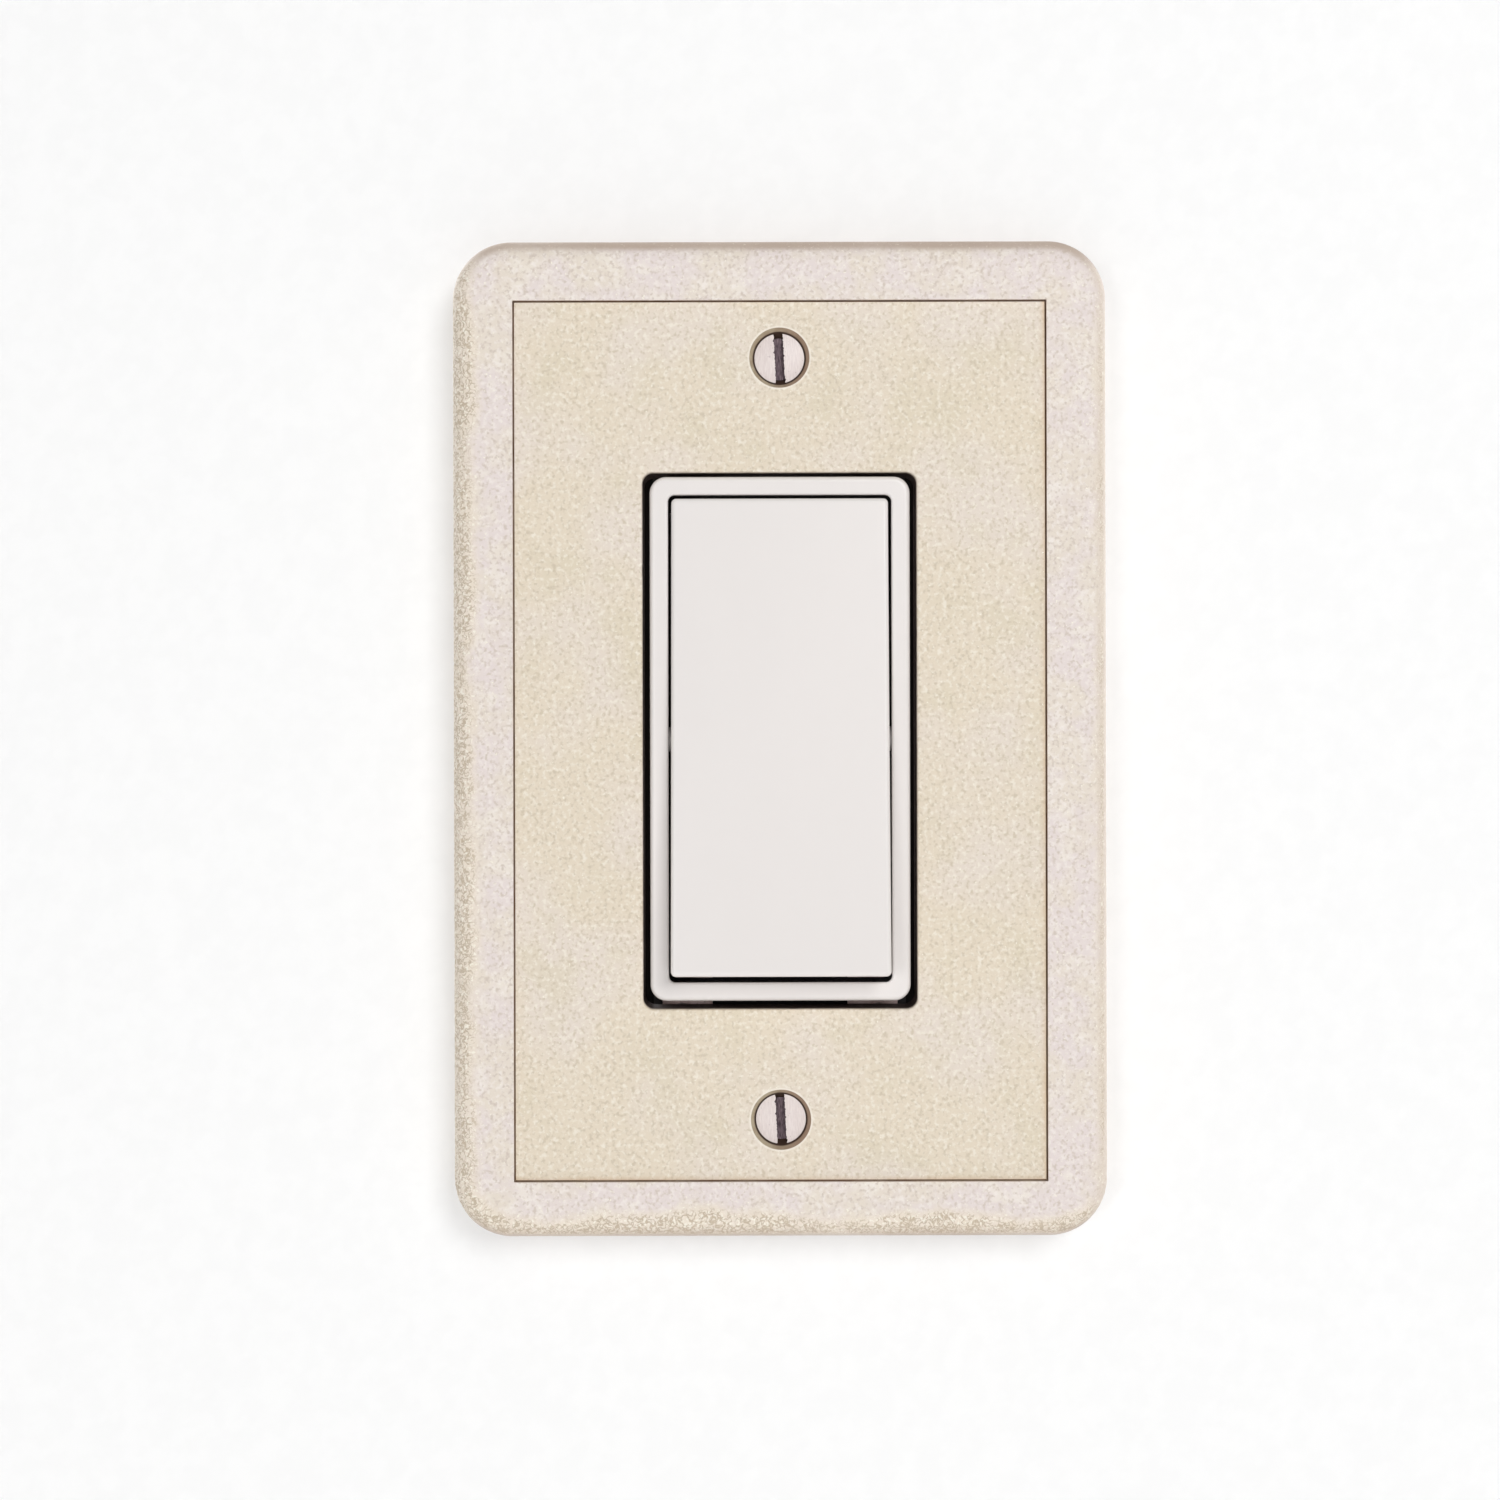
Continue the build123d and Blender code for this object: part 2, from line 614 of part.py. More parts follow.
# The rear housing: flange with rivet ears, body, contact cavity, terminal pockets and wire holes.
with BuildPart() as rear_housing:
    with BuildSketch(front(0)):
        Rectangle(flange_width, flange_length)
        with Locations(*[(0, end * flange_length / 2) for end in ends]):
            Rectangle(notch_width, flange_length - body_length, mode=Mode.SUBTRACT)
        for hand, end in corners:
            with Locations((hand * (flange_width - flange_ear_width) / 2, end * flange_ear_end / 2)):
                Rectangle(flange_ear_width, flange_ear_end)
    extrude(amount=-flange_depth)
    with BuildSketch(front(-flange_depth)):
        RectangleRounded(body_width, body_length, body_corner_radius)
    extrude(amount=flange_depth - housing_depth)
    fillet(rear_housing.faces().sort_by(Axis.Y)[-1].edges(), body_edge_radius)

    # grip ribs down the side without terminals
    with BuildSketch(side(-body_width / 2)):
        rib_length = housing_depth - body_edge_radius - flange_depth
        with Locations(*[(row, -flange_depth - rib_length / 2) for row in side_rib_rows]):
            Rectangle(side_rib_width, rib_length)
    extrude(amount=-side_rib_height)

    # the contact cavity
    with BuildSketch(front(0)):
        Rectangle(cavity_width, cavity_length)
    extrude(amount=-cavity_floor, mode=Mode.SUBTRACT)

    # corner posts under the deck
    with BuildSketch(front(-cavity_floor)):
        for hand, end in corners:
            post_x = cavity_width / 2 + corner_post_bite - corner_post_width / 2
            post_z = cavity_length / 2 + corner_post_bite - corner_post_length / 2
            with Locations((hand * post_x, end * post_z)):
                Rectangle(corner_post_width, corner_post_length)
    extrude(amount=cavity_floor - deck_depth - deck_thickness)

    # posts under the terminals and the stop for the contact rocker's upper end
    with BuildSketch(front(-cavity_floor)):
        with Locations((0, -contact_place)):
            Rectangle(2 * contact_radius, 2 * contact_radius)
        with Locations((inner_plate_middle, -contact_place)):
            Rectangle(terminal_post_width, 2 * contact_radius)
    extrude(amount=cavity_floor - load_strip_depth - terminal_thickness)
    with BuildSketch(front(-cavity_floor)):
        Rectangle(saddle_width - 2 * saddle_post_inset, saddle_length - 2 * saddle_post_inset)
        with Locations((inner_plate_middle, contact_place)):
            Rectangle(terminal_post_width, 2 * contact_radius)
    extrude(amount=cavity_floor - common_strip_depth - terminal_thickness)
    with BuildSketch(front(-cavity_floor)):
        with Locations((-rocker_stop_width, contact_place)):
            Rectangle(rocker_stop_width, rocker_stop_width)
    extrude(amount=cavity_floor - closed_rocker_depth - contact_gap)

    for end, strip_depth in ((1, common_strip_depth), (-1, load_strip_depth)):
        # terminal pocket, open to the side, with the tongue's slot and the screw's hole
        block_inside = pocket_floor - pocket_wall
        block_width = cavity_width / 2 - block_inside
        with BuildSketch(front(-cavity_floor)):
            with Locations((block_inside + block_width / 2, end * terminal_place)):
                Rectangle(block_width, pocket_width + 2 * pocket_wall)
        extrude(amount=cavity_floor - pocket_top + pocket_wall)
        with BuildSketch(side(pocket_floor)):
            with Locations((end * terminal_place, -(pocket_top + pocket_bottom) / 2)):
                Rectangle(pocket_width, pocket_bottom - pocket_top)
        extrude(amount=body_width, mode=Mode.SUBTRACT)
        with BuildSketch(side(block_inside)):
            with Locations((end * terminal_place, -strip_depth - terminal_thickness / 2)):
                Rectangle(tongue_width + 2 * tongue_clearance, terminal_thickness + 2 * tongue_clearance)
            with Locations((end * terminal_place, -terminal_screw_depth)):
                Circle(terminal_shank_radius + screw_hole_clearance)
        extrude(amount=pocket_wall, mode=Mode.SUBTRACT)

        # push-in wire holes in short bosses, the release slot and the clamp spring's rib
        wire_hole_places = [(column, end * wire_hole_row) for column in wire_hole_columns]
        with BuildSketch(front(-cavity_floor)):
            with Locations(*wire_hole_places):
                Circle(wire_boss_radius)
        extrude(amount=cavity_floor - wire_boss_top)
        with BuildSketch(front(-cavity_floor)):
            rib_row = clamp_base_row + (clamp_thickness + clamp_rib_thickness) / 2 + contact_gap
            with Locations((inner_plate_middle, end * rib_row)):
                Rectangle(inner_plate_width, clamp_rib_thickness)
        extrude(amount=cavity_floor - clamp_bend_depth)
        with BuildSketch(front(-housing_depth)):
            with Locations(*wire_hole_places):
                Circle(wire_hole_radius)
            with Locations((inner_plate_middle, end * release_slot_row)):
                Rectangle(release_slot_length, release_slot_width)
        extrude(amount=housing_depth - wire_boss_top, mode=Mode.SUBTRACT)

    # holes for the rivets, catches for the front frame, and a recess and a wire-strip gauge behind
    with BuildSketch(front(0)):
        with Locations(*rivet_places):
            Circle(rivet_hole_radius)
    extrude(amount=-flange_depth, mode=Mode.SUBTRACT)
    with BuildSketch(front(latch_lip_length - latch_depth + latch_clearance)):
        with Locations(*[(0, end * (body_length - latch_pocket_depth) / 2) for end in ends]):
            Rectangle(latch_width + 2 * latch_clearance, latch_pocket_depth)
    extrude(amount=-(latch_lip_length + 2 * latch_clearance), mode=Mode.SUBTRACT)
    with BuildSketch(front(-housing_depth)):
        RectangleRounded(back_recess_width, back_recess_length, back_recess_corner)
    extrude(amount=back_recess_depth, mode=Mode.SUBTRACT)
    with BuildSketch(front(-housing_depth)):
        with Locations((-inner_plate_middle, 0)):
            Rectangle(strip_gauge_width, strip_gauge_length)
    extrude(amount=strip_gauge_depth, mode=Mode.SUBTRACT)

# The switch deck: covers the contacts, stops the paddle at both ends and lets the post through.
with BuildPart() as switch_deck:
    with BuildSketch(front(-deck_depth)):
        Rectangle(deck_width, deck_length)
        RectangleRounded(deck_slot_width, deck_slot_length, deck_slot_corner_radius, mode=Mode.SUBTRACT)
    extrude(amount=-deck_thickness)
    with BuildSketch(front(-deck_depth)):
        with Locations(*[(hand * (deck_width - deck_rim_width) / 2, 0) for hand in ends]):
            Rectangle(deck_rim_width, deck_length)
    extrude(amount=deck_depth)
    with BuildSketch(front(-deck_depth)):
        with Locations(*[(0, end * (deck_length - stop_length) / 2) for end in ends]):
            Rectangle(stop_width, stop_length)
    extrude(amount=deck_depth + stop_height)

# Two captive mounting screws, 6-32, that hold the strap to the wall box.
with BuildPart() as mounting_screws:
    head_top = strap_thickness + mounting_head_height
    for row in device_screw_rows:
        with BuildSketch(turning_plane(0, row)):
            Polygon(
                (0, head_top),
                (0, -mounting_tip_depth),
                (mounting_thread_radius - tip_chamfer, -mounting_tip_depth),
                (mounting_thread_radius, tip_chamfer - mounting_tip_depth),
                (mounting_thread_radius, -mounting_neck_depth),
                (mounting_neck_radius, -mounting_neck_depth),
                (mounting_neck_radius, strap_thickness),
                (mounting_head_radius, strap_thickness),
                (mounting_head_radius, head_top),
                align=None,
            )
        revolve(axis=turning_axis(0, row))
    fillet(mounting_screws.faces().filter_by(Plane.XZ).group_by(Axis.Y)[0].edges(), mounting_head_edge)
    with BuildSketch(front(head_top - driver_slot_depth)):
        with Locations(*[(0, row) for row in device_screw_rows]):
            Rectangle(driver_slot_length, driver_slot_width)
    extrude(amount=driver_slot_depth, mode=Mode.SUBTRACT)

# Fibre washers that keep the mounting screws in the strap's slots.
with BuildPart() as screw_retaining_washers:
    with BuildSketch(front(0)):
        for row in device_screw_rows:
            with Locations((0, row)):
                RectangleRounded(washer_size, washer_size, washer_corner_radius)
                Circle(washer_hole_radius, mode=Mode.SUBTRACT)
    extrude(amount=-washer_thickness)

# Four rivets that clamp the strap to the housing's ears.
with BuildPart() as housing_rivets:
    for x, z in rivet_places:
        with BuildSketch(turning_plane(x, z)):
            Polygon(
                (0, strap_thickness + rivet_head_height),
                (rivet_head_radius - rivet_head_height / 2, strap_thickness + rivet_head_height),
                (rivet_head_radius, strap_thickness + rivet_head_height / 2),
                (rivet_head_radius, strap_thickness),
                (rivet_shank_radius, strap_thickness),
                (rivet_shank_radius, -flange_depth),
                (rivet_tail_radius, -flange_depth),
                (rivet_tail_radius, -flange_depth - rivet_head_height),
                (0, -flange_depth - rivet_head_height),
                align=None,
            )
        revolve(axis=turning_axis(x, z))

# Two side-wiring terminal screws.
with BuildPart() as terminal_screws:
    head_seat = pocket_floor + terminal_thickness
    for end in ends:
        with BuildSketch(side(terminal_shank_end)):
            with Locations((end * terminal_place, -terminal_screw_depth)):
                Circle(terminal_shank_radius)
        extrude(amount=head_seat - terminal_shank_end)
        with BuildSketch(side(head_seat)):
            with Locations((end * terminal_place, -terminal_screw_depth)):
                Circle(terminal_head_radius)
        extrude(amount=terminal_head_height)
    fillet(terminal_screws.faces().group_by(Axis.X)[-1].edges(), terminal_head_edge)
    with BuildSketch(side(head_seat + terminal_head_height - driver_slot_depth)):
        with Locations(*[(end * terminal_place, -terminal_screw_depth) for end in ends]):
            Rectangle(driver_slot_width, driver_slot_length)
    extrude(amount=driver_slot_depth, mode=Mode.SUBTRACT)

# The hex-headed grounding screw on the strap's bent tab.
with BuildPart() as ground_screw:
    ground_place = (ground_tab_middle, -ground_screw_depth)
    with BuildSketch(side(-strap_width / 2)):
        with Locations(ground_place):
            RegularPolygon(ground_head_across / 2, 6, major_radius=False)
    extrude(amount=-ground_head_height)
    chamfer(ground_screw.faces().sort_by(Axis.X)[0].edges(), ground_head_chamfer)
    with BuildSketch(side(-strap_width / 2)):
        with Locations(ground_place):
            Circle(ground_shank_radius)
    extrude(amount=ground_shank_end + strap_width / 2)
    with BuildSketch(side(driver_slot_depth - strap_width / 2 - ground_head_height)):
        with Locations(ground_place):
            Rectangle(driver_slot_length, driver_slot_width)
    extrude(amount=-driver_slot_depth, mode=Mode.SUBTRACT)

# Two leaf springs that press pushed-in wires against the terminals' legs, two leaves each.
with BuildPart() as wire_clamp_springs:
    for end in ends:
        with BuildSketch(side(inner_plate_left)):
            with BuildLine():
                FilletPolyline(
                    (end * clamp_base_row, -clamp_base_depth),
                    (end * clamp_base_row, -clamp_bend_depth),
                    (end * clamp_free_row, -clamp_free_depth),
                    radius=clamp_bend_radius,
                )
            trace(line_width=clamp_thickness)
        extrude(amount=inner_plate_width)
        with BuildSketch(front(0)):
            with Locations((inner_plate_middle, end * wire_hole_row)):
                Rectangle(clamp_slit_width, clamp_slit_length)
        extrude(amount=-housing_depth, mode=Mode.SUBTRACT)

nodes = {
    "wall_plate": wall_plate,
    "wall_plate_screws": wall_plate_screws,
    "front_frame": front_frame,
    "rocker_paddle": rocker_paddle,
    "contact_spring": contact_spring,
    "spring_plunger": spring_plunger,
    "contact_rocker": contact_rocker,
    "moving_contact": moving_contact,
    "fixed_contact": fixed_contact,
    "load_terminal": load_terminal,
    "common_terminal": common_terminal,
    "terminal_screws": terminal_screws,
    "wire_clamp_springs": wire_clamp_springs,
    "switch_deck": switch_deck,
    "rear_housing": rear_housing,
    "mounting_strap": mounting_strap,
    "housing_rivets": housing_rivets,
    "mounting_screws": mounting_screws,
    "screw_retaining_washers": screw_retaining_washers,
    "ground_screw": ground_screw,
}

os.makedirs("parts", exist_ok=True)
for name, node in nodes.items():
    node.part.label = name
    export_step(node.part, f"parts/{name}.step")
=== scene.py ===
"""Looks for the rocker wall switch with its cast-stone wall plate, in metres, in the CAD frame.

The frame has +X right, +Z up and +Y into the wall, with the wall's surface at Y 0. A height
is a distance out of that surface into the room, so it is minus Y.
"""

from math import cos, hypot, pi, radians, sin, tan

import bmesh
import bpy
from mathutils import Matrix, Vector, noise


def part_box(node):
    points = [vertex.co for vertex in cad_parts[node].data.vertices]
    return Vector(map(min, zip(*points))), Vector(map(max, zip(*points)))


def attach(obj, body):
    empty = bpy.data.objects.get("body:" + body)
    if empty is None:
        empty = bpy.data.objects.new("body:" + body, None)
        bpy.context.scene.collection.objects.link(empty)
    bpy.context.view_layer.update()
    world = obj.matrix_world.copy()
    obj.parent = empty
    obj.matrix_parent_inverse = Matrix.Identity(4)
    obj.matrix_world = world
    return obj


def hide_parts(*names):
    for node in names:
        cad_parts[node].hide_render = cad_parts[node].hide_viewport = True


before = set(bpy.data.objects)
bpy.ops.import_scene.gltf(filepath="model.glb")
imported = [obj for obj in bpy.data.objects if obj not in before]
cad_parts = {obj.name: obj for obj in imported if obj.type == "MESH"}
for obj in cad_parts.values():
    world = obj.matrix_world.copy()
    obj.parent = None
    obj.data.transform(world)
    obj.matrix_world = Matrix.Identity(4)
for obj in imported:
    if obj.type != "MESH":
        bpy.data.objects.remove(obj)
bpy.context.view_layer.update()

MM = 0.001
ENDS = (1, -1)

# Slack in comparisons of places, coarse and fine
NEAR = 0.01 * MM
HAIR = 0.002 * MM

# Camera: almost square to the wall, a little left of the plate's middle and below it
CAMERA_LENS = 50
CAMERA_SENSOR = 36
CAMERA_DISTANCE = 0.2642
CAMERA_LEFT = 0.00384
CAMERA_DOWN = 0.00143
CAMERA_ROLL = radians(0.13)

# Stage, with half of the stretch of wall that the plate covers, which is painted as shade
WALL_BEHIND = 0.0001
WALL_GLOW = 0.262
STAGE_SIZE = 2.4
FLOOR_BELOW = 0.16
SHADE_HALF = (0.0385, 0.0605)
WORLD_STRENGTH = 0.27

# Square soft boxes that face the plate's middle: place, size, power and colour
LIGHTS = {
    "key": ((0.42, -1.05, 0.47), 0.5, 6.5, (1, 0.999, 0.995)),
    "fill": ((-0.5, -1.1, 0.0), 0.3, 2.25, (1, 1, 1)),
    "back": ((-0.5, 0.9, 0.6), 0.8, 9, (1, 1, 1)),
    "back_fill": ((0.9, 0.7, 0.2), 0.8, 5, (1, 1, 1)),
}

# Cast stone plate: shape taken from the CAD plate
CORNER_RADIUS = 0.0075
EDGE_RADIUS = 0.003
PANEL_HALF = (0.0339, 0.05595)
PANEL_CENTRE = (0, -0.00028)
PANEL_DROP = 0.0005
OPENING_HALF = (0.01746, 0.03415)
OPENING_RADIUS = 0.0014
OPENING_CENTRE = (-0.00003, -0.00026)
OPENING_EDGE = 0.00025
OPENING_LEVELS = (0.0062, 0.0045, 0.003)
OPENING_DARK_BELOW = 0.007
HOLLOW_HALF = (0.0365, 0.05835)
HOLLOW_RADIUS = 0.004
HOLLOW_HEIGHT = 0.002
SEAT_CHAMFER = 0.0004
GROOVE_WIDTH = 0.0002
GROOVE_DEPTH = 0.0003
GROOVE_CORNER = 0.0001
SCREW_ROW = 0.04842
SCREW_HOLE_RADIUS = 0.0021
COUNTERSINK_RADIUS = 0.00385
COUNTERSINK_SLOPE = tan(radians(41))
BOSS_RADIUS = 0.0031
BOSS_HEIGHT = 0.0013
HEAD_POCKET_ROW = 0.04165
HEAD_POCKET_RADIUS = 0.0037
HEAD_POCKET_HEIGHT = 0.0036
RING_CREASE = 0.12 * MM

# Bezel round the paddle: half of its opening, and its face's height
BEZEL_OPENING_HALF = (0.0145, 0.0312)
BEZEL_FACE = 0.0074

# Screws, with heights in the direction that the head faces; a slot is its width, floor and lean
THREAD_PITCH = 0.000794
THREAD_DEPTH = 0.61 * THREAD_PITCH
RINGS_PER_PITCH = 8
SLOT_REACH = 0.012
SLOT_STEPS = 90
SLOT_CHIPS = 0.3 * MM
OVAL_HEAD_RADIUS = 0.00319
OVAL_HEAD_EDGE = 0.0072
OVAL_HEAD_TOP = 0.0076
OVAL_SHANK_RADIUS = 0.0017
OVAL_SHANK_END = -0.0045
OVAL_THREAD_TOP = 0.0012
DOME_STEPS = 12
OVAL_SLOT = (0.00116, 0.0066, radians(2.8))
PAN_HEAD_RADIUS = 0.0034
PAN_HEAD_SEAT = 0.0013
PAN_HEAD_TOP = 0.0032
PAN_HEAD_BEND = 0.00095
PAN_ROW = 0.04165
PAN_SLOT = (0.0011, 0.0022, pi / 2)
NECK_RADIUS = 0.00145
NECK_END = -0.0014
PAN_SHANK_RADIUS = 0.00175
PAN_SHANK_END = -0.022
WIRE_HEAD_RADIUS = 0.0036
WIRE_HEAD_SEAT = 0.0142
WIRE_HEAD_TOP = 0.0168
WIRE_HEAD_BEND = 0.00065
WIRE_SCREW_PLACES = ((0.011, 0.014), (0.011, -0.014))
WIRE_SLOT = (0.0011, 0.0158, pi / 2)
WIRE_SHANK_RADIUS = 0.0019
WIRE_SHANK_END = 0.0085
HEX_HEAD_ACROSS = 0.0072
HEX_HEAD_SEAT = 0.0167
HEX_HEAD_TOP = 0.0195
HEX_HEAD_CHAMFER = 0.00035
HEX_PLACE = (0.0052, -0.0412)
HEX_SLOT = (0.0011, 0.0185, 0.0)
HEX_SHANK_RADIUS = 0.00205
HEX_SHANK_END = 0.0095

# Stations round the plate's outline, and rings across each stretch of its profile
SIDE_STEPS = (370, 226)
CORNER_STEPS = 36
WALL_RINGS = 12
EDGE_RINGS = 14
RIM_RINGS = 12
PANEL_RINGS = 38
LIP_RINGS = 3
BACK_RINGS = 6

# Wear on each side: its strength, its reach in mm, and how smooth and brown its outermost band is
WEAR_LEFT = (1.0, 3.0, 0.0)
WEAR_BOTTOM = (1.15, 3.1, 0.6)
WEAR_RIGHT = (0.8, 1.5, 0.3)
WEAR_TOP = (0.45, 0.9, 1.0)

# What is eaten out of the stone: sizes across, and depths
PIT_SIZE = 0.55 * MM
FINE_PIT_SIZE = 0.3 * MM
PIT_DEPTH = 0.09 * MM
SWELL_SIZE = 3.2 * MM
SWELL_DEPTH = 0.012 * MM
DIMPLE_SIZE = 1.7 * MM
DIMPLE_DEPTH = 0.05 * MM

# Where the painted shadow round a plate screw's head ends and the rusty ring begins, from the screw's axis
HEAD_SHADOW = (0.00333, 0.00347)

# Colours of the cast stone's panel
PANEL_CREAM = (0.762, 0.668, 0.535)
PANEL_LILAC = (0.775, 0.690, 0.615)
PANEL_OLIVE = (0.705, 0.625, 0.475)
PANEL_PALE = (0.885, 0.825, 0.725)
PANEL_DARK = (0.600, 0.510, 0.385)
PANEL_WARM = (0.690, 0.510, 0.330)

# Colours of its chalky rim
RIM_PINK = (0.775, 0.690, 0.665)
RIM_CREAM = (0.775, 0.695, 0.605)
RIM_PATCH = (0.860, 0.800, 0.720)
RIM_PALE = (0.890, 0.830, 0.785)
RIM_DARK = (0.620, 0.530, 0.460)
RIM_WARM = (0.545, 0.440, 0.375)
RIM_BROWN = (0.455, 0.345, 0.265)

# Colours of its worn edges
WORN_TAN = (0.800, 0.700, 0.560)
WORN_CREAM = (0.875, 0.785, 0.685)
WORN_PIT = (0.500, 0.400, 0.280)
WORN_CRUMB = (0.935, 0.885, 0.780)

# Colours of its groove, of the rings round its screws with painted highlight and shade, and of the painted
# shade down its opening
GROOVE_DARK = (0.115, 0.050, 0.020)
GROOVE_BROWN = (0.300, 0.160, 0.080)
RUST_PAINTED_LIT_LEFT = (0.460, 0.385, 0.270)
RUST_PAINTED_SHADED_RIGHT = (0.340, 0.230, 0.160)
RUST_BLOTCH = (0.290, 0.195, 0.125)
PAINTED_RING_HIGHLIGHT = (0.930, 0.865, 0.770)
RING_SHADOW = (0.045, 0.020, 0.010)
OPENING_SHADE = (0.045, 0.024, 0.018)

# Colours of the switch's plastic, and of the painted shade inside its bezel's opening
SWITCH_WHITE = (0.835, 0.795, 0.775)
PAINTED_GAP_SHADE = (0.020, 0.014, 0.012)


# ---------------------------------------------------------------- camera, stage and light

def make_camera():
    """The photograph's camera."""
    low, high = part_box("wall_plate")
    data = bpy.data.cameras.new("camera")
    data.lens = CAMERA_LENS
    data.sensor_width = CAMERA_SENSOR
    data.clip_start = 0.01
    camera = bpy.data.objects.new("camera", data)
    middle = (low + high) / 2
    camera.location = (
        middle.x - CAMERA_LEFT,
        low.y - CAMERA_DISTANCE,
        middle.z - CAMERA_DOWN,
    )
    camera.rotation_euler = (pi / 2, CAMERA_ROLL, 0)
    bpy.context.scene.collection.objects.link(camera)
    bpy.context.scene.camera = camera


def plane(name, corners):
    """A flat four-cornered sheet."""
    mesh = bpy.data.meshes.new(name)
    mesh.from_pydata(corners, [], [(0, 1, 2, 3)])
    sheet = bpy.data.objects.new(name, mesh)
    bpy.context.scene.collection.objects.link(sheet)
    return sheet


def area_light(name, place, size, power, colour):
    """A square soft box at place that faces the plate's middle."""
    data = bpy.data.lights.new(name, "AREA")
    data.size = size
    data.energy = power
    data.color = colour
    light = bpy.data.objects.new(name, data)
    light.location = place
    light.rotation_euler = (-Vector(place)).to_track_quat("-Z", "Y").to_euler()
    bpy.context.scene.collection.objects.link(light)


# ---------------------------------------------------------------- material helpers

class Look:
    """A material in the making. Lengths are in millimetres, measured in the CAD frame."""

    def __init__(self, name, **sockets):
        self.material = bpy.data.materials.new(name)
        self.material.use_nodes = True
        self.tree = self.material.node_tree
        self.shader = self.tree.nodes["Principled BSDF"]
        self.place = self.add("ShaderNodeTexCoord").outputs["Object"]
        for socket, value in sockets.items():
            self.shader.inputs[socket.replace("_", " ").title()].default_value = value

    def add(self, kind, settings=None, **inputs):
        """A node of that kind, with its settings and its inputs by name."""
        made = self.tree.nodes.new(kind)
        for setting, value in (settings or {}).items():
            setattr(made, setting, value)
        for socket, value in inputs.items():
            self.put(made.inputs[socket.replace("_", " ")], value)
        return made

    def put(self, socket, value):
        """Links value to the socket, or sets it."""
        if isinstance(value, bpy.types.NodeSocket):
            self.tree.links.new(value, socket)
        elif isinstance(value, tuple) and len(value) == 3 and socket.type == "RGBA":
            socket.default_value = (*value, 1)
        else:
            socket.default_value = value

    def noise(self, size, detail=2.0, shift=0.0, stretch=(1, 1, 1), distortion=0.0):
        """Noise from 0 to 1 whose blotches are about size across."""
        moved = (shift, shift, shift)
        scaled = self.add("ShaderNodeMapping", Vector=self.place, Scale=stretch, Location=moved)
        made = self.add("ShaderNodeTexNoise", Vector=scaled.outputs[0], Scale=1 / (size * MM))
        made.inputs["Detail"].default_value = detail
        made.inputs["Distortion"].default_value = distortion
        return made.outputs["Fac"]

    def worms(self, size, shift=0.0, distortion=0.6):
        """Winding valleys about size apart: 0 in a valley and 1 on a ridge."""
        level = self.noise(size, 1.5, shift, distortion=distortion)
        apart = self.maths("ABSOLUTE", self.maths("SUBTRACT", level, 0.5), 0.0)
        return self.mask(apart, 0.0, 0.11)

    def axes(self):
        """The three object coordinates, in metres."""
        split = self.add("ShaderNodeSeparateXYZ", Vector=self.place)
        return split.outputs[0], split.outputs[1], split.outputs[2]

    def within(self, value, limit, soft):
        """1 where value, either side of nought, is under limit, and 0 beyond it."""
        return self.mask(self.maths("ABSOLUTE", value, 0.0), limit + soft, limit - soft)

    def off_screws(self):
        """The distance from the nearer plate screw's axis."""
        x, _, z = self.axes()
        off_row = self.maths("SUBTRACT", self.maths("ABSOLUTE", z, 0.0), SCREW_ROW)
        squares = self.maths("ADD", self.share(x, x), self.share(off_row, off_row))
        return self.maths("SQRT", squares, 0.0)

    def share(self, value, amount):
        """value times amount, which may be another mask."""
        return self.maths("MULTIPLY", value, amount)

    def mask(self, value, start, end):
        """0 where value is at start, 1 where it is at end, and smooth between them."""
        made = self.add("ShaderNodeMapRange", {"interpolation_type": "SMOOTHSTEP"}, Value=value)
        made.inputs["From Min"].default_value = start
        made.inputs["From Max"].default_value = end
        return made.outputs["Result"]

    def span(self, value, low, high):
        """value, from 0 to 1, spread over low to high."""
        made = self.add("ShaderNodeMapRange", Value=value)
        made.inputs["To Min"].default_value = low
        made.inputs["To Max"].default_value = high
        return made.outputs["Result"]

    def maths(self, operation, a, b):
        """One sum on two values."""
        made = self.add("ShaderNodeMath", {"operation": operation})
        self.put(made.inputs[0], a)
        self.put(made.inputs[1], b)
        return made.outputs[0]

    def mix(self, share, a, b, blend="MIX"):
        """Colour a where share is 0 and b where it is 1."""
        made = self.add("ShaderNodeMix", {"data_type": "RGBA", "blend_type": blend})
        self.put(made.inputs["Factor"], share)
        self.put(made.inputs[6], a)
        self.put(made.inputs[7], b)
        return made.outputs[2]

    def layer(self, under, colour, where, amount):
        """colour laid over under, as thick as that amount of the mask where."""
        return self.mix(self.share(where, amount), under, colour)

    def parts(self, name):
        """The three numbers of a colour that the mesh carries."""
        carried = self.add("ShaderNodeAttribute", {"attribute_name": name}).outputs["Color"]
        return self.add("ShaderNodeSeparateColor", Color=carried).outputs

    def finish(self, colour, roughness, height=None, depth=0.02, strength=1.0):
        """Joins the colour, the roughness and a bump of that depth to the shader."""
        self.put(self.shader.inputs["Base Color"], colour)
        self.put(self.shader.inputs["Roughness"], roughness)
        if height is not None:
            bump = self.add("ShaderNodeBump", Height=height, Distance=depth * MM, Strength=strength)
            self.put(self.shader.inputs["Normal"], bump.outputs[0])
        return self.material


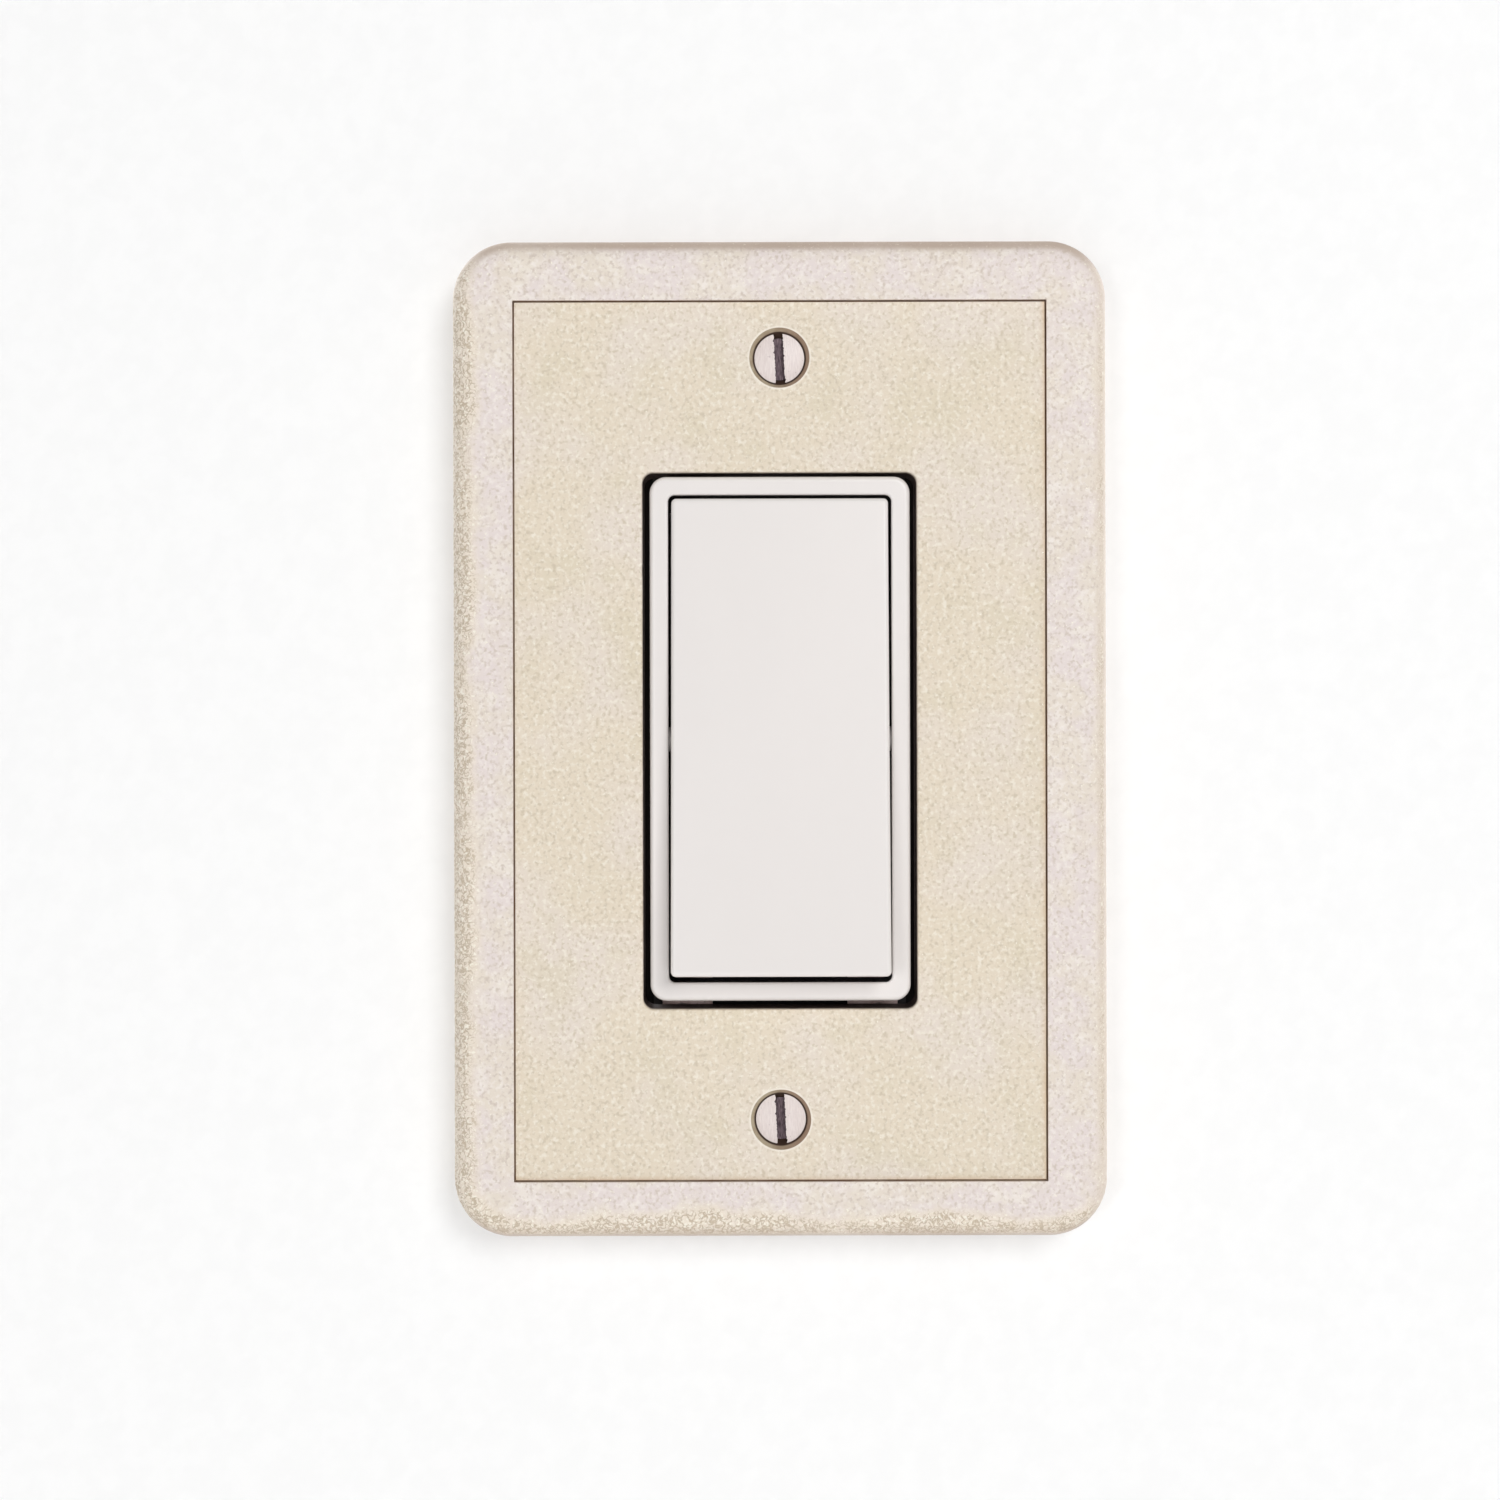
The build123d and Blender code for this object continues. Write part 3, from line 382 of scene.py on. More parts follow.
def moulded_plastic(name, colour, roughness, grain=0.25, depth=0.004, fade=0.02, dust=None, painted_gap_shade=False):
    """Moulded plastic with flow marks, a fine tool texture and handling marks.

    fade is how much darker the flow marks are, dust the colour of a film on top, and the last flag
    paints near-black shade on the walls inside the bezel's opening.
    """
    look = Look(name)
    darker = tuple(c * (1 - fade) for c in colour)
    flow = look.noise(22, 3, stretch=(1, 1, 0.45))
    shade = look.mix(look.mask(flow, 0.25, 0.75), darker, colour)
    if dust:
        film = look.mask(look.noise(4, 5, 3.1), 0.45, 0.8)
        shade = look.layer(shade, dust, film, 0.5)
    # painted shade: the walls inside the bezel's opening, deeper than its face, are made near black
    if painted_gap_shade:
        half_width, half_height = BEZEL_OPENING_HALF
        x, y, z = look.axes()
        sunk = look.mask(y, 0.25 * MM - BEZEL_FACE, 0.6 * MM - BEZEL_FACE)
        inside = look.share(look.within(x, half_width, 0.1 * MM), look.within(z, half_height, 0.1 * MM))
        shade = look.layer(shade, PAINTED_GAP_SHADE, look.share(sunk, inside), 0.94)
    rubbed = look.noise(9, 3, 1.7)
    gloss = look.span(rubbed, roughness * 0.92, roughness * 1.08)
    return look.finish(shade, gloss, look.noise(grain, 2, 0.4), depth)


def plated_metal(name, colour, tarnish, roughness, metallic=1.0):
    """Rolled or turned metal with a drawn grain, dull blotches and a few dark specks."""
    look = Look(name, metallic=metallic)
    blotches = look.mask(look.noise(3.5, 4, 0.9), 0.38, 0.68)
    shade = look.mix(blotches, colour, tarnish)
    lines = look.noise(0.12, 2, 2.3, stretch=(1, 1, 0.06))
    shade = look.mix(look.span(lines, 0.0, 0.3), shade, tarnish)
    specks = look.mask(look.noise(0.35, 1, 5.2), 0.70, 0.76)
    shade = look.layer(shade, tuple(c * 0.4 for c in tarnish), specks, 0.5)
    dull = look.maths("ADD", look.share(blotches, 0.5), look.share(lines, 0.5))
    return look.finish(shade, look.span(dull, roughness * 0.7, roughness * 1.4), lines, 0.004)


# ---------------------------------------------------------------- materials

def cast_stone():
    """Cream resin stone: mottled panel, chalky rim, olive pits on the worn edges, brown in the groove;
    painted shade and highlight round the screws and painted shade down the opening.
    """
    look = Look("cast_stone")
    rim, wear, groove = look.parts("stone")
    warm, painted_opening_shade, _ = look.parts("stain_and_shade")

    # the panel: cream, with clouds of lilac and of olive, and fine pale and dark grains
    clouds = look.mask(look.noise(13, 4, 0.2), 0.42, 0.66)
    panel = look.layer(PANEL_CREAM, PANEL_LILAC, clouds, 0.85)
    olive = look.mask(look.noise(6, 4, 0.7), 0.50, 0.70)
    panel = look.layer(panel, PANEL_OLIVE, olive, 0.6)
    pale = look.mask(look.noise(0.62, 2.5, 1.3), 0.47, 0.70)
    panel = look.layer(panel, PANEL_PALE, pale, 0.75)
    dark = look.mask(look.noise(0.5, 2.5, 2.9), 0.49, 0.72)
    panel = look.layer(panel, PANEL_DARK, dark, 0.75)
    panel = look.layer(panel, PANEL_WARM, warm, 0.7)

    # the rim: a chalky pinkish wash over the same stone, with creamy patches
    thin = look.mask(look.noise(5, 5, 3.3), 0.40, 0.62)
    wash = look.mix(thin, RIM_PINK, RIM_CREAM)
    patches = look.mask(look.noise(2.4, 4, 6.6), 0.54, 0.68)
    wash = look.layer(wash, RIM_PATCH, patches, 0.6)
    wash = look.layer(wash, RIM_PALE, pale, 0.65)
    wash = look.layer(wash, RIM_DARK, dark, 0.85)
    wash = look.layer(wash, RIM_WARM, warm, 0.95)
    shade = look.mix(rim, panel, wash)

    # worn edges: winding olive pits between bright cream grains, fewer as the wear fades
    winding = look.worms(0.62, 4.1)
    fresh = look.share(look.maths("SUBTRACT", 1.0, wear), 1.1)
    pits = look.mask(look.maths("ADD", winding, fresh), 0.8, 0.1)
    specks = look.maths("SUBTRACT", look.noise(0.34, 1.5, 5.4), look.share(fresh, 0.12))
    crumbs = look.mask(specks, 0.50, 0.64)
    ground = look.mix(look.noise(2.2, 3, 8.8), WORN_TAN, WORN_CREAM)
    shade = look.layer(shade, ground, look.mask(wear, 0.0, 0.9), 0.8)
    shade = look.layer(shade, WORN_PIT, pits, 0.75)
    shade = look.layer(shade, WORN_CRUMB, look.share(crumbs, winding), 0.9)
    shade = look.layer(shade, RIM_BROWN, look.share(warm, rim), 0.5)

    # brown in the groove, stronger along its top and right as painted shade
    line = look.mix(look.noise(5, 2, 7.7), GROOVE_DARK, GROOVE_BROWN)
    shade = look.mix(groove, shade, line)

    # round each screw's hole: a painted highlight just outside it, then a rusty ring, lighter on the left
    # and darker on the right as painted light and shade, then a painted shadow round the screw's head
    off_axis = look.off_screws()
    across, _, _ = look.axes()
    rust_and_painted_shade = look.mix(look.mask(across, -2.5 * MM, 3 * MM), RUST_PAINTED_LIT_LEFT, RUST_PAINTED_SHADED_RIGHT)
    rust_and_painted_shade = look.layer(rust_and_painted_shade, RUST_BLOTCH, look.mask(look.noise(1.1, 3, 9.9), 0.42, 0.66), 0.5)
    # painted highlight: a pale band just outside each countersink's edge
    edge = look.mask(off_axis, COUNTERSINK_RADIUS + 0.3 * MM, COUNTERSINK_RADIUS + 0.1 * MM)
    shade = look.layer(shade, PAINTED_RING_HIGHLIGHT, edge, 0.6)
    ring = look.mix(look.mask(off_axis, *HEAD_SHADOW), RING_SHADOW, rust_and_painted_shade)
    shade = look.mix(look.mask(off_axis, COUNTERSINK_RADIUS, COUNTERSINK_RADIUS - 0.05 * MM), shade, ring)

    # painted shade down the opening: near black on its wall below a set height
    shade = look.mix(painted_opening_shade, shade, OPENING_SHADE)

    bitten = look.maths("ADD", look.share(look.mask(pits, 1.0, 0.0), wear), look.share(dark, -0.3))
    relief = look.maths("ADD", bitten, look.share(look.noise(0.3, 2.5, 6.2), 0.35))
    return look.finish(shade, look.span(pale, 0.66, 0.82), relief, 0.06, 0.7)


def screw_paint():
    """Pinkish-white paint brushed on a screw's head, with painted shadow, near black, round the head's edge
    where it drops into its hole.
    """
    look = Look("screw_paint")
    strokes = look.noise(0.42, 3, 0.6, stretch=(2.6, 1, 0.4))
    shade = look.mix(look.mask(strokes, 0.35, 0.7), (0.735, 0.645, 0.620), (0.815, 0.730, 0.700))
    specks = look.mask(look.noise(0.3, 1, 4.4), 0.68, 0.76)
    shade = look.layer(shade, (0.50, 0.41, 0.40), specks, 0.55)
    # painted shadow: near black round the head's edge
    rim = look.mask(look.off_screws(), OVAL_HEAD_RADIUS - 0.06 * MM, OVAL_HEAD_RADIUS)
    shade = look.mix(rim, shade, (0.030, 0.017, 0.013))
    return look.finish(shade, look.span(strokes, 0.32, 0.5), strokes, 0.01)


def slot_steel():
    """The scraped floor and walls of a painted screw's slot."""
    look = Look("slot_steel", metallic=0.3)
    scrapes = look.noise(0.2, 3, 1.1, stretch=(1.8, 1, 0.25))
    shade = look.mix(look.mask(scrapes, 0.35, 0.72), (0.060, 0.036, 0.046), (0.235, 0.165, 0.185))
    return look.finish(shade, look.span(scrapes, 0.4, 0.6), scrapes, 0.01)


def plaster():
    """The stage wall: white plaster, painted near black as shade where the plate covers it, seen only from
    the room's side.
    """
    look = Look("plaster")
    relief = look.noise(2.6, 3, 0.5)
    x, _, z = look.axes()
    # painted shade: near black and without glow where the plate covers the wall, for the dark wall box
    # behind it
    painted_box_shade = look.share(look.within(x, SHADE_HALF[0], MM), look.within(z, SHADE_HALF[1], MM))
    shade = look.mix(look.mask(relief, 0.35, 0.65), (0.69, 0.69, 0.69), (0.71, 0.71, 0.71))
    material = look.finish(look.mix(painted_box_shade, shade, (0.004, 0.003, 0.003)), 0.9, relief, 0.05)
    look.put(look.shader.inputs["Emission Color"], look.mix(painted_box_shade, (1.0, 1.0, 1.0), (0.0, 0.0, 0.0)))
    look.shader.inputs["Emission Strength"].default_value = WALL_GLOW
    clear = look.add("ShaderNodeBsdfTransparent")
    side = look.add("ShaderNodeNewGeometry").outputs["Backfacing"]
    join = look.add("ShaderNodeMixShader")
    look.put(join.inputs[0], side)
    look.put(join.inputs[1], look.shader.outputs[0])
    look.put(join.inputs[2], clear.outputs[0])
    look.put(look.tree.nodes["Material Output"].inputs["Surface"], join.outputs[0])
    return material


def floor_paint():
    """The stage floor: pale and matte."""
    look = Look("floor_paint")
    cloud = look.noise(40, 3)
    return look.finish(look.mix(cloud, (0.78, 0.78, 0.78), (0.82, 0.82, 0.82)), 0.8)


# ---------------------------------------------------------------- mesh helpers

def new_piece(name, mesh, body, slot, *nodes):
    """A piece with that mesh, which rides on a body and is shown instead of the CAD nodes."""
    piece = bpy.data.objects.new(name, mesh)
    bpy.context.scene.collection.objects.link(piece)
    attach(piece, body)
    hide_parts(*nodes)
    return piece


def mesh_of(maker, name):
    """The finished bmesh as a mesh, with its faces turned outwards."""
    bmesh.ops.recalc_face_normals(maker, faces=maker.faces)
    mesh = bpy.data.meshes.new(name)
    maker.to_mesh(mesh)
    maker.free()
    return mesh


def stitch(maker, a, b):
    """Faces between two closed rings of vertices; one ring may have twice the other's count."""
    if len(a) < len(b):
        a, b = b, a
    step = len(a) // len(b)
    for i, first in enumerate(b):
        second = b[(i + 1) % len(b)]
        run = [a[(step * i + k) % len(a)] for k in range(step + 1)]
        if step == 1:
            maker.faces.new((first, second, run[1], run[0]))
        else:
            maker.faces.new((first, run[1], run[0]))
            maker.faces.new((first, second, run[2], run[1]))


def combine(piece_mesh, operation, *tools):
    """The mesh after its union with, difference from or overlap with each tool mesh in turn."""
    collection = bpy.context.scene.collection
    target = bpy.data.objects.new("target", piece_mesh)
    collection.objects.link(target)
    made = []
    for tool in tools:
        other = bpy.data.objects.new("tool", tool)
        collection.objects.link(other)
        made.append(other)
        change = target.modifiers.new("cut", "BOOLEAN")
        change.operation = operation
        change.solver = "MANIFOLD"
        change.object = other
    bpy.context.view_layer.update()
    graph = bpy.context.evaluated_depsgraph_get()
    result = bpy.data.meshes.new_from_object(target.evaluated_get(graph))
    for helper in (target, *made):
        bpy.data.objects.remove(helper)
    return result


def lathe(profile, sides=48, twist=None):
    """A closed solid turned about Z from (radius, height) points; twist adds to a radius by its angle."""
    maker = bmesh.new()
    rings = []
    for radius, height in profile:
        ring = []
        for k in range(sides):
            angle = 2 * pi * k / sides
            reach = radius + (twist(height, k / sides) if twist else 0)
            ring.append(maker.verts.new((reach * cos(angle), reach * sin(angle), height)))
        rings.append(ring)
    for a, b in zip(rings, rings[1:]):
        stitch(maker, a, b)
    maker.faces.new(rings[0])
    maker.faces.new(rings[-1])
    return mesh_of(maker, "lathe")


def facing(direction, centre):
    """Turns a solid made along Z to face the room, the right or the left, at its (across, up) place."""
    out = Vector({"room": (0, -1, 0), "right": (1, 0, 0), "left": (-1, 0, 0)}[direction])
    up = Vector((0, 0, 1))
    across = up.cross(out)
    turn = Matrix((across, up, out)).transposed().to_4x4()
    side = Vector((1, 0, 0)) if direction == "room" else Vector((0, 1, 0))
    return Matrix.Translation(side * centre[0] + up * centre[1]) @ turn


def turned(profile, centre, sides=48):
    """A closed solid turned about a line square to the wall, from (radius, height) points."""
    mesh = lathe(profile, sides)
    mesh.transform(facing("room", centre))
    return mesh


# ---------------------------------------------------------------- screws

def threaded_rod(crest, top, end, smooth_above=None):
    """A rod down from top to end, with a thread below smooth_above, chamfered at its tip."""
    start = top if smooth_above is None else smooth_above
    steps = int((top - end) / THREAD_PITCH * RINGS_PER_PITCH)
    heights = [top + (end - top) * i / steps for i in range(steps + 1)]

    def thread(height, turn):
        phase = (height / THREAD_PITCH - turn) % 1
        valley = min(max(1.25 - abs(phase - 0.5) * 3.2, 0), 1)
        cut = valley * ramp(height, start, start - THREAD_PITCH / 2)
        return -THREAD_DEPTH * (cut + (1 - cut) * ramp(height, end + THREAD_DEPTH, end))

    return lathe([(crest, height) for height in heights], 32, thread)


def slot_cutter(slot, chips):
    """A bar that cuts a driver slot, with chips that deep in the slot's rims."""
    width, floor, lean = slot
    maker = bmesh.new()
    sides = []
    for hand in ENDS:
        for i in range(SLOT_STEPS + 1):
            along = (i / SLOT_STEPS - 0.5) * 0.75 * SLOT_REACH * hand
            at = Vector((hand * 5, along / (0.5 * MM), 0))
            nick = max(noise.noise(at) - 0.1, 0) + 0.25 * noise.noise(at * 3.1)
            sides.append((hand * (width / 2 + chips * nick), along))
    level = [[maker.verts.new((x, y, z)) for x, y in sides] for z in (floor, floor + SLOT_REACH)]
    stitch(maker, *level)
    for ring in level:
        maker.faces.new(ring)
    bmesh.ops.transform(maker, matrix=Matrix.Rotation(lean, 4, "Z"), verts=maker.verts)
    return mesh_of(maker, "slot")


def screw(head, rod, slot, look, slot_look=None, paint=None, painted_above=0.0):
    """A slotted screw along Z, with its slot's faces and its painted top in their own finishes."""
    mesh = combine(head, "UNION", rod)
    chips = SLOT_CHIPS if paint else 0
    mesh = combine(mesh, "DIFFERENCE", slot_cutter(slot, chips))
    width, slot_floor, lean = slot
    across = Vector((cos(lean), sin(lean), 0))
    mesh.materials.clear()
    mesh.materials.append(look)
    if slot_look:
        mesh.materials.append(slot_look)
        mesh.materials.append(paint)
        for face in mesh.polygons:
            up = face.center.z - slot_floor
            inside = abs(face.center.dot(across)) < width / 2 + chips and up > -chips
            wall = inside and abs(face.normal.z) < 0.1
            floor = inside and face.normal.z > 0.99 and up < chips
            face.material_index = 1 if wall or floor else 2 if face.center.z > painted_above else 0
    return mesh


def joined(name, direction, places, mesh):
    """Copies of one screw at each place, as a single smooth mesh with sharp corners kept."""
    maker = bmesh.new()
    for place in places:
        copy = mesh.copy()
        copy.transform(facing(direction, place))
        maker.from_mesh(copy)
    whole = bpy.data.meshes.new(name)
    maker.to_mesh(whole)
    maker.free()
    for material in mesh.materials:
        whole.materials.append(material)
    whole.shade_smooth()
    whole.set_sharp_from_angle(angle=radians(35))
    return whole


def rounded(radius, seat, top, bend, steps=8):
    """A pan head's profile: a flat seat, straight sides and a rounded shoulder up to a flat top."""
    points = [(radius, seat)]
    for i in range(steps + 1):
        angle = i / steps * pi / 2
        points.append((radius - bend * (1 - cos(angle)), top - bend * (1 - sin(angle))))
    return points + [(radius * share, top) for share in (0.5, 0.2)]


def plate_screws(looks):
    """Two oval-head 6-32 screws, painted, whose slots show scraped steel."""
    cone = OVAL_HEAD_EDGE - (OVAL_HEAD_RADIUS - OVAL_SHANK_RADIUS) / COUNTERSINK_SLOPE
    rise = OVAL_HEAD_TOP - OVAL_HEAD_EDGE
    turns = [i / DOME_STEPS * pi / 2 for i in range(DOME_STEPS)]
    dome = [(OVAL_HEAD_RADIUS * cos(turn), OVAL_HEAD_EDGE + rise * sin(turn) ** 2) for turn in turns]
    head = lathe([(OVAL_SHANK_RADIUS * 0.9, cone - MM), (OVAL_SHANK_RADIUS, cone)] + dome, 72)
    rod = threaded_rod(OVAL_SHANK_RADIUS, cone - 0.5 * MM, OVAL_SHANK_END, OVAL_THREAD_TOP)
    mesh = screw(head, rod, OVAL_SLOT, looks["plated_steel"], looks["slot_steel"], looks["screw_paint"],
                 OVAL_HEAD_EDGE)
    places = [(0, end * SCREW_ROW) for end in ENDS]
    return new_piece("oval_screws", joined("oval_screws", "room", places, mesh),
                     "switch_body", "screw_paint", "wall_plate_screws")


def box_screws(looks):
    """Two captive pan-head 6-32 screws for the wall box."""
    head = lathe(rounded(PAN_HEAD_RADIUS, PAN_HEAD_SEAT, PAN_HEAD_TOP, PAN_HEAD_BEND), 64)
    neck = lathe([(NECK_RADIUS, NECK_END - MM), (NECK_RADIUS, PAN_HEAD_SEAT + MM)], 32)
    rod = threaded_rod(PAN_SHANK_RADIUS, NECK_END, PAN_SHANK_END)
    mesh = screw(combine(head, "UNION", neck), rod, PAN_SLOT, looks["plated_steel"])
    places = [(0, end * PAN_ROW) for end in ENDS]
    return new_piece("box_screws", joined("box_screws", "room", places, mesh),
                     "switch_body", "plated_steel", "mounting_screws")


def wiring_screws(looks):
    """Two 8-32 terminal screws in the housing's side."""
    head = lathe(rounded(WIRE_HEAD_RADIUS, WIRE_HEAD_SEAT, WIRE_HEAD_TOP, WIRE_HEAD_BEND), 64)
    rod = threaded_rod(WIRE_SHANK_RADIUS, WIRE_HEAD_SEAT + MM, WIRE_SHANK_END, WIRE_HEAD_SEAT - 0.3 * MM)
    mesh = screw(head, rod, WIRE_SLOT, looks["terminal_brass"])
    return new_piece("wiring_screws", joined("wiring_screws", "right", WIRE_SCREW_PLACES, mesh),
                     "switch_body", "terminal_brass", "terminal_screws")


def grounding_screw(looks):
    """The green hex-head screw in the strap's bent tab."""
    corner = HEX_HEAD_ACROSS / 2 / cos(pi / 6)
    block = lathe([(corner, HEX_HEAD_SEAT), (corner, HEX_HEAD_TOP)], 6)
    crown = lathe([(corner, HEX_HEAD_SEAT - MM), (corner, HEX_HEAD_TOP - HEX_HEAD_CHAMFER),
                   (corner - 2 * HEX_HEAD_CHAMFER, HEX_HEAD_TOP), (MM, HEX_HEAD_TOP)], 72)
    head = combine(block, "INTERSECT", crown)
    rod = threaded_rod(HEX_SHANK_RADIUS, HEX_HEAD_SEAT + MM, HEX_SHANK_END, HEX_HEAD_SEAT)
    mesh = screw(head, rod, HEX_SLOT, looks["ground_green"])
    return new_piece("hex_screw", joined("hex_screw", "left", [HEX_PLACE], mesh),
                     "switch_body", "ground_green", "ground_screw")


# ---------------------------------------------------------------- cast stone plate

def outline(half, radius, centre, fine):
    """A rounded rectangle's points, from the lower right corner up the right side and on round."""
    share = 1 if fine else 2
    corners = [(1, 1), (-1, 1), (-1, -1), (1, -1)]
    middles = [
        Vector((centre[0] + right * (half[0] - radius), centre[1] + up * (half[1] - radius)))
        for right, up in corners
    ]
    points = []
    for k, middle in enumerate(middles):
        start = middles[k - 1]
        away = Vector((cos(k * pi / 2), sin(k * pi / 2))) * radius
        side_steps = SIDE_STEPS[k % 2] // share
        points += [start.lerp(middle, i / side_steps) + away for i in range(side_steps)]
        corner_steps = CORNER_STEPS // share
        for i in range(corner_steps):
            angle = (k + i / corner_steps) * pi / 2
            points.append(middle + Vector((cos(angle), sin(angle))) * radius)
    return points


def fractions(steps, first=0):
    """Even steps from first / steps up to 1."""
    return [i / steps for i in range(first, steps + 1)]


def blend(a, b, t):
    """The pair that lies t of the way from pair a to pair b."""
    return tuple(start + (end - start) * t for start, end in zip(a, b))


def plate_rings(half, height):
    """The plate's cross-section as (half size, corner radius, centre, height, fine) rings."""
    panel = height - PANEL_DROP
    shoulder = height - EDGE_RADIUS
    middle = (0, 0)

    def inset(amount):
        return (half[0] - amount, half[1] - amount)

    # up the outer wall, over the rounded edge and in across the rim
    rings = [(half, CORNER_RADIUS, middle, SEAT_CHAMFER + t * (shoulder - SEAT_CHAMFER), True)
             for t in fractions(WALL_RINGS)[:-1]]
    for t in fractions(EDGE_RINGS):
        angle = t * pi / 2
        amount = EDGE_RADIUS * (1 - cos(angle))
        level = shoulder + EDGE_RADIUS * sin(angle)
        rings.append((inset(amount), CORNER_RADIUS - amount, middle, level, True))
    edge, edge_radius = inset(EDGE_RADIUS), CORNER_RADIUS - EDGE_RADIUS
    for t in fractions(RIM_RINGS, 1):
        corner = edge_radius + (GROOVE_CORNER - edge_radius) * t
        rings.append((blend(edge, PANEL_HALF, t), corner, blend(middle, PANEL_CENTRE, t), height, True))

    # down into the groove, up to the panel and in to the opening's rounded lip
    floor = panel - GROOVE_DEPTH
    foot = tuple(a - GROOVE_WIDTH for a in PANEL_HALF)
    rings.append((PANEL_HALF, GROOVE_CORNER, PANEL_CENTRE, floor, True))
    rings.append((foot, GROOVE_CORNER, PANEL_CENTRE, floor, False))
    lip = tuple(a + OPENING_EDGE for a in OPENING_HALF)
    lip_radius = OPENING_RADIUS + OPENING_EDGE
    for t in fractions(PANEL_RINGS):
        corner = GROOVE_CORNER + (lip_radius - GROOVE_CORNER) * t
        centre = blend(PANEL_CENTRE, OPENING_CENTRE, t)
        rings.append((blend(foot, lip, t), corner, centre, panel, False))
    for t in fractions(LIP_RINGS, 1):
        angle = t * pi / 2
        amount = OPENING_EDGE * (1 - sin(angle))
        size = tuple(a + amount for a in OPENING_HALF)
        level = panel - OPENING_EDGE * (1 - cos(angle))
        rings.append((size, OPENING_RADIUS + amount, OPENING_CENTRE, level, False))

    # down the opening, out under the back and down to the wall
    for level in (*OPENING_LEVELS, HOLLOW_HEIGHT):
        rings.append((OPENING_HALF, OPENING_RADIUS, OPENING_CENTRE, level, False))
    for t in fractions(BACK_RINGS, 1):
        corner = OPENING_RADIUS + (HOLLOW_RADIUS - OPENING_RADIUS) * t
        centre = blend(OPENING_CENTRE, middle, t)
        rings.append((blend(OPENING_HALF, HOLLOW_HALF, t), corner, centre, HOLLOW_HEIGHT, False))
    rings.append((HOLLOW_HALF, HOLLOW_RADIUS, middle, 0, False))
    rings.append((inset(SEAT_CHAMFER), CORNER_RADIUS - SEAT_CHAMFER, middle, 0, False))
    return rings


def ramp(value, start, end):
    """0 up to start, 1 from end, and smooth between them."""
    t = min(max((value - start) / (end - start), 0), 1)
    return t * t * (3 - 2 * t)


def edge_distance(x, z, half, radius):
    """How far inside a rounded rectangle a point lies."""
    across, along = abs(x) - half[0] + radius, abs(z) - half[1] + radius
    return radius - hypot(max(across, 0), max(along, 0)) - min(max(across, along), 0)


def edge_wear(x, z, half, inset):
    """How worn the plate is near its outline, and how brown: worn most on the left and at the bottom."""
    sides = ((x + half[0], WEAR_LEFT), (z + half[1], WEAR_BOTTOM),
             (half[0] - x, WEAR_RIGHT), (half[1] - z, WEAR_TOP))
    weights = [1 / (distance / MM + 0.8) ** 3 for distance, _ in sides]
    total = sum(weights)
    strength, reach, smooth = (
        sum(weight * wear[k] for weight, (_, wear) in zip(weights, sides)) / total for k in range(3)
    )
    place = Vector((x, 0, z))
    patch = noise.fractal(place * 75 + Vector((3, 1, 7)), 1.0, 2.0, 3)
    reach = (reach * (1 + 0.3 * patch) + 0.4 * noise.noise(place * 420)) * MM
    wear = ramp(inset, reach + 1.6 * MM, reach - 1.4 * MM) * strength
    wear = min(wear * min(max(1 + 0.35 * patch, 0.75), 1), 1)
    wear *= 1 - min(smooth * 1.4, 1) * ramp(inset, 0.8 * MM, 0.35 * MM)
    brown = smooth * ramp(inset, 2.0 * MM, 0.8 * MM) * (1 + 0.4 * patch)
    return wear, min(max(brown, 0), 1)


def in_groove(point):
    """Whether a point lies on the groove round the panel."""
    inside = edge_distance(point.x, point.z - PANEL_CENTRE[1], PANEL_HALF, GROOVE_CORNER)
    return -HAIR < inside < GROOVE_WIDTH + HAIR and -point.y > 2 * HOLLOW_HEIGHT


def stone_marks(point, half, face):
    """How much a point is rim, worn and groove (more on the groove's top and right, as painted shade), then
    how warm it is and whether it takes the painted shade down the opening.
    """
    x, height, z = point.x, -point.y, point.z
    off_middle = z - PANEL_CENTRE[1]
    if in_groove(point) and height < face - PANEL_DROP - GROOVE_DEPTH / 2:
        # painted shade: the groove's top and right sides get the full dark line, the others less
        painted_shade_side = off_middle > 0.99 * PANEL_HALF[1] or x > 0.99 * PANEL_HALF[0]
        strength = (1.0 if painted_shade_side else 0.85) + 0.25 * noise.noise(point * 260)
        return (0, 0, min(strength, 1)), (0, 0, 0)
    if edge_distance(x, off_middle, PANEL_HALF, GROOVE_CORNER) > HAIR / 2:
        warm = 0
        if height > HOLLOW_HEIGHT:
            low_side = min(PANEL_HALF[0] - x, PANEL_HALF[1] + off_middle)
            warm = ramp(low_side, GROOVE_WIDTH + 0.6 * MM, GROOVE_WIDTH + 0.1 * MM)
            warm *= 0.75 + 0.5 * noise.noise(point * 180)
        down = edge_distance(x - OPENING_CENTRE[0], z - OPENING_CENTRE[1], OPENING_HALF, OPENING_RADIUS)
        # painted shade: the opening's wall below a set height is marked for near-black colour
        painted_opening_shade = 1 if down > -NEAR and height < OPENING_DARK_BELOW else 0
        return (0, 0, 0), (warm, painted_opening_shade, 0)
    wear, brown = edge_wear(x, z, half, edge_distance(x, z, half, CORNER_RADIUS))
    return (1, wear, 0), (brown, 0, 0)


def stone_relief(point, wear, rim):
    """How deep the stone is eaten away at a point."""
    grain = noise.noise(point / PIT_SIZE) + 0.5 * noise.noise(point / FINE_PIT_SIZE)
    pits = ramp(grain, -0.05, 0.55)
    swell = 1 + noise.noise(point / SWELL_SIZE)
    dimple = ramp(noise.noise(point / DIMPLE_SIZE + Vector((9, 4, 2))), 0.42, 0.75)
    return PIT_DEPTH * wear * pits + SWELL_DEPTH * swell + DIMPLE_DEPTH * dimple * (1 - 0.5 * rim)


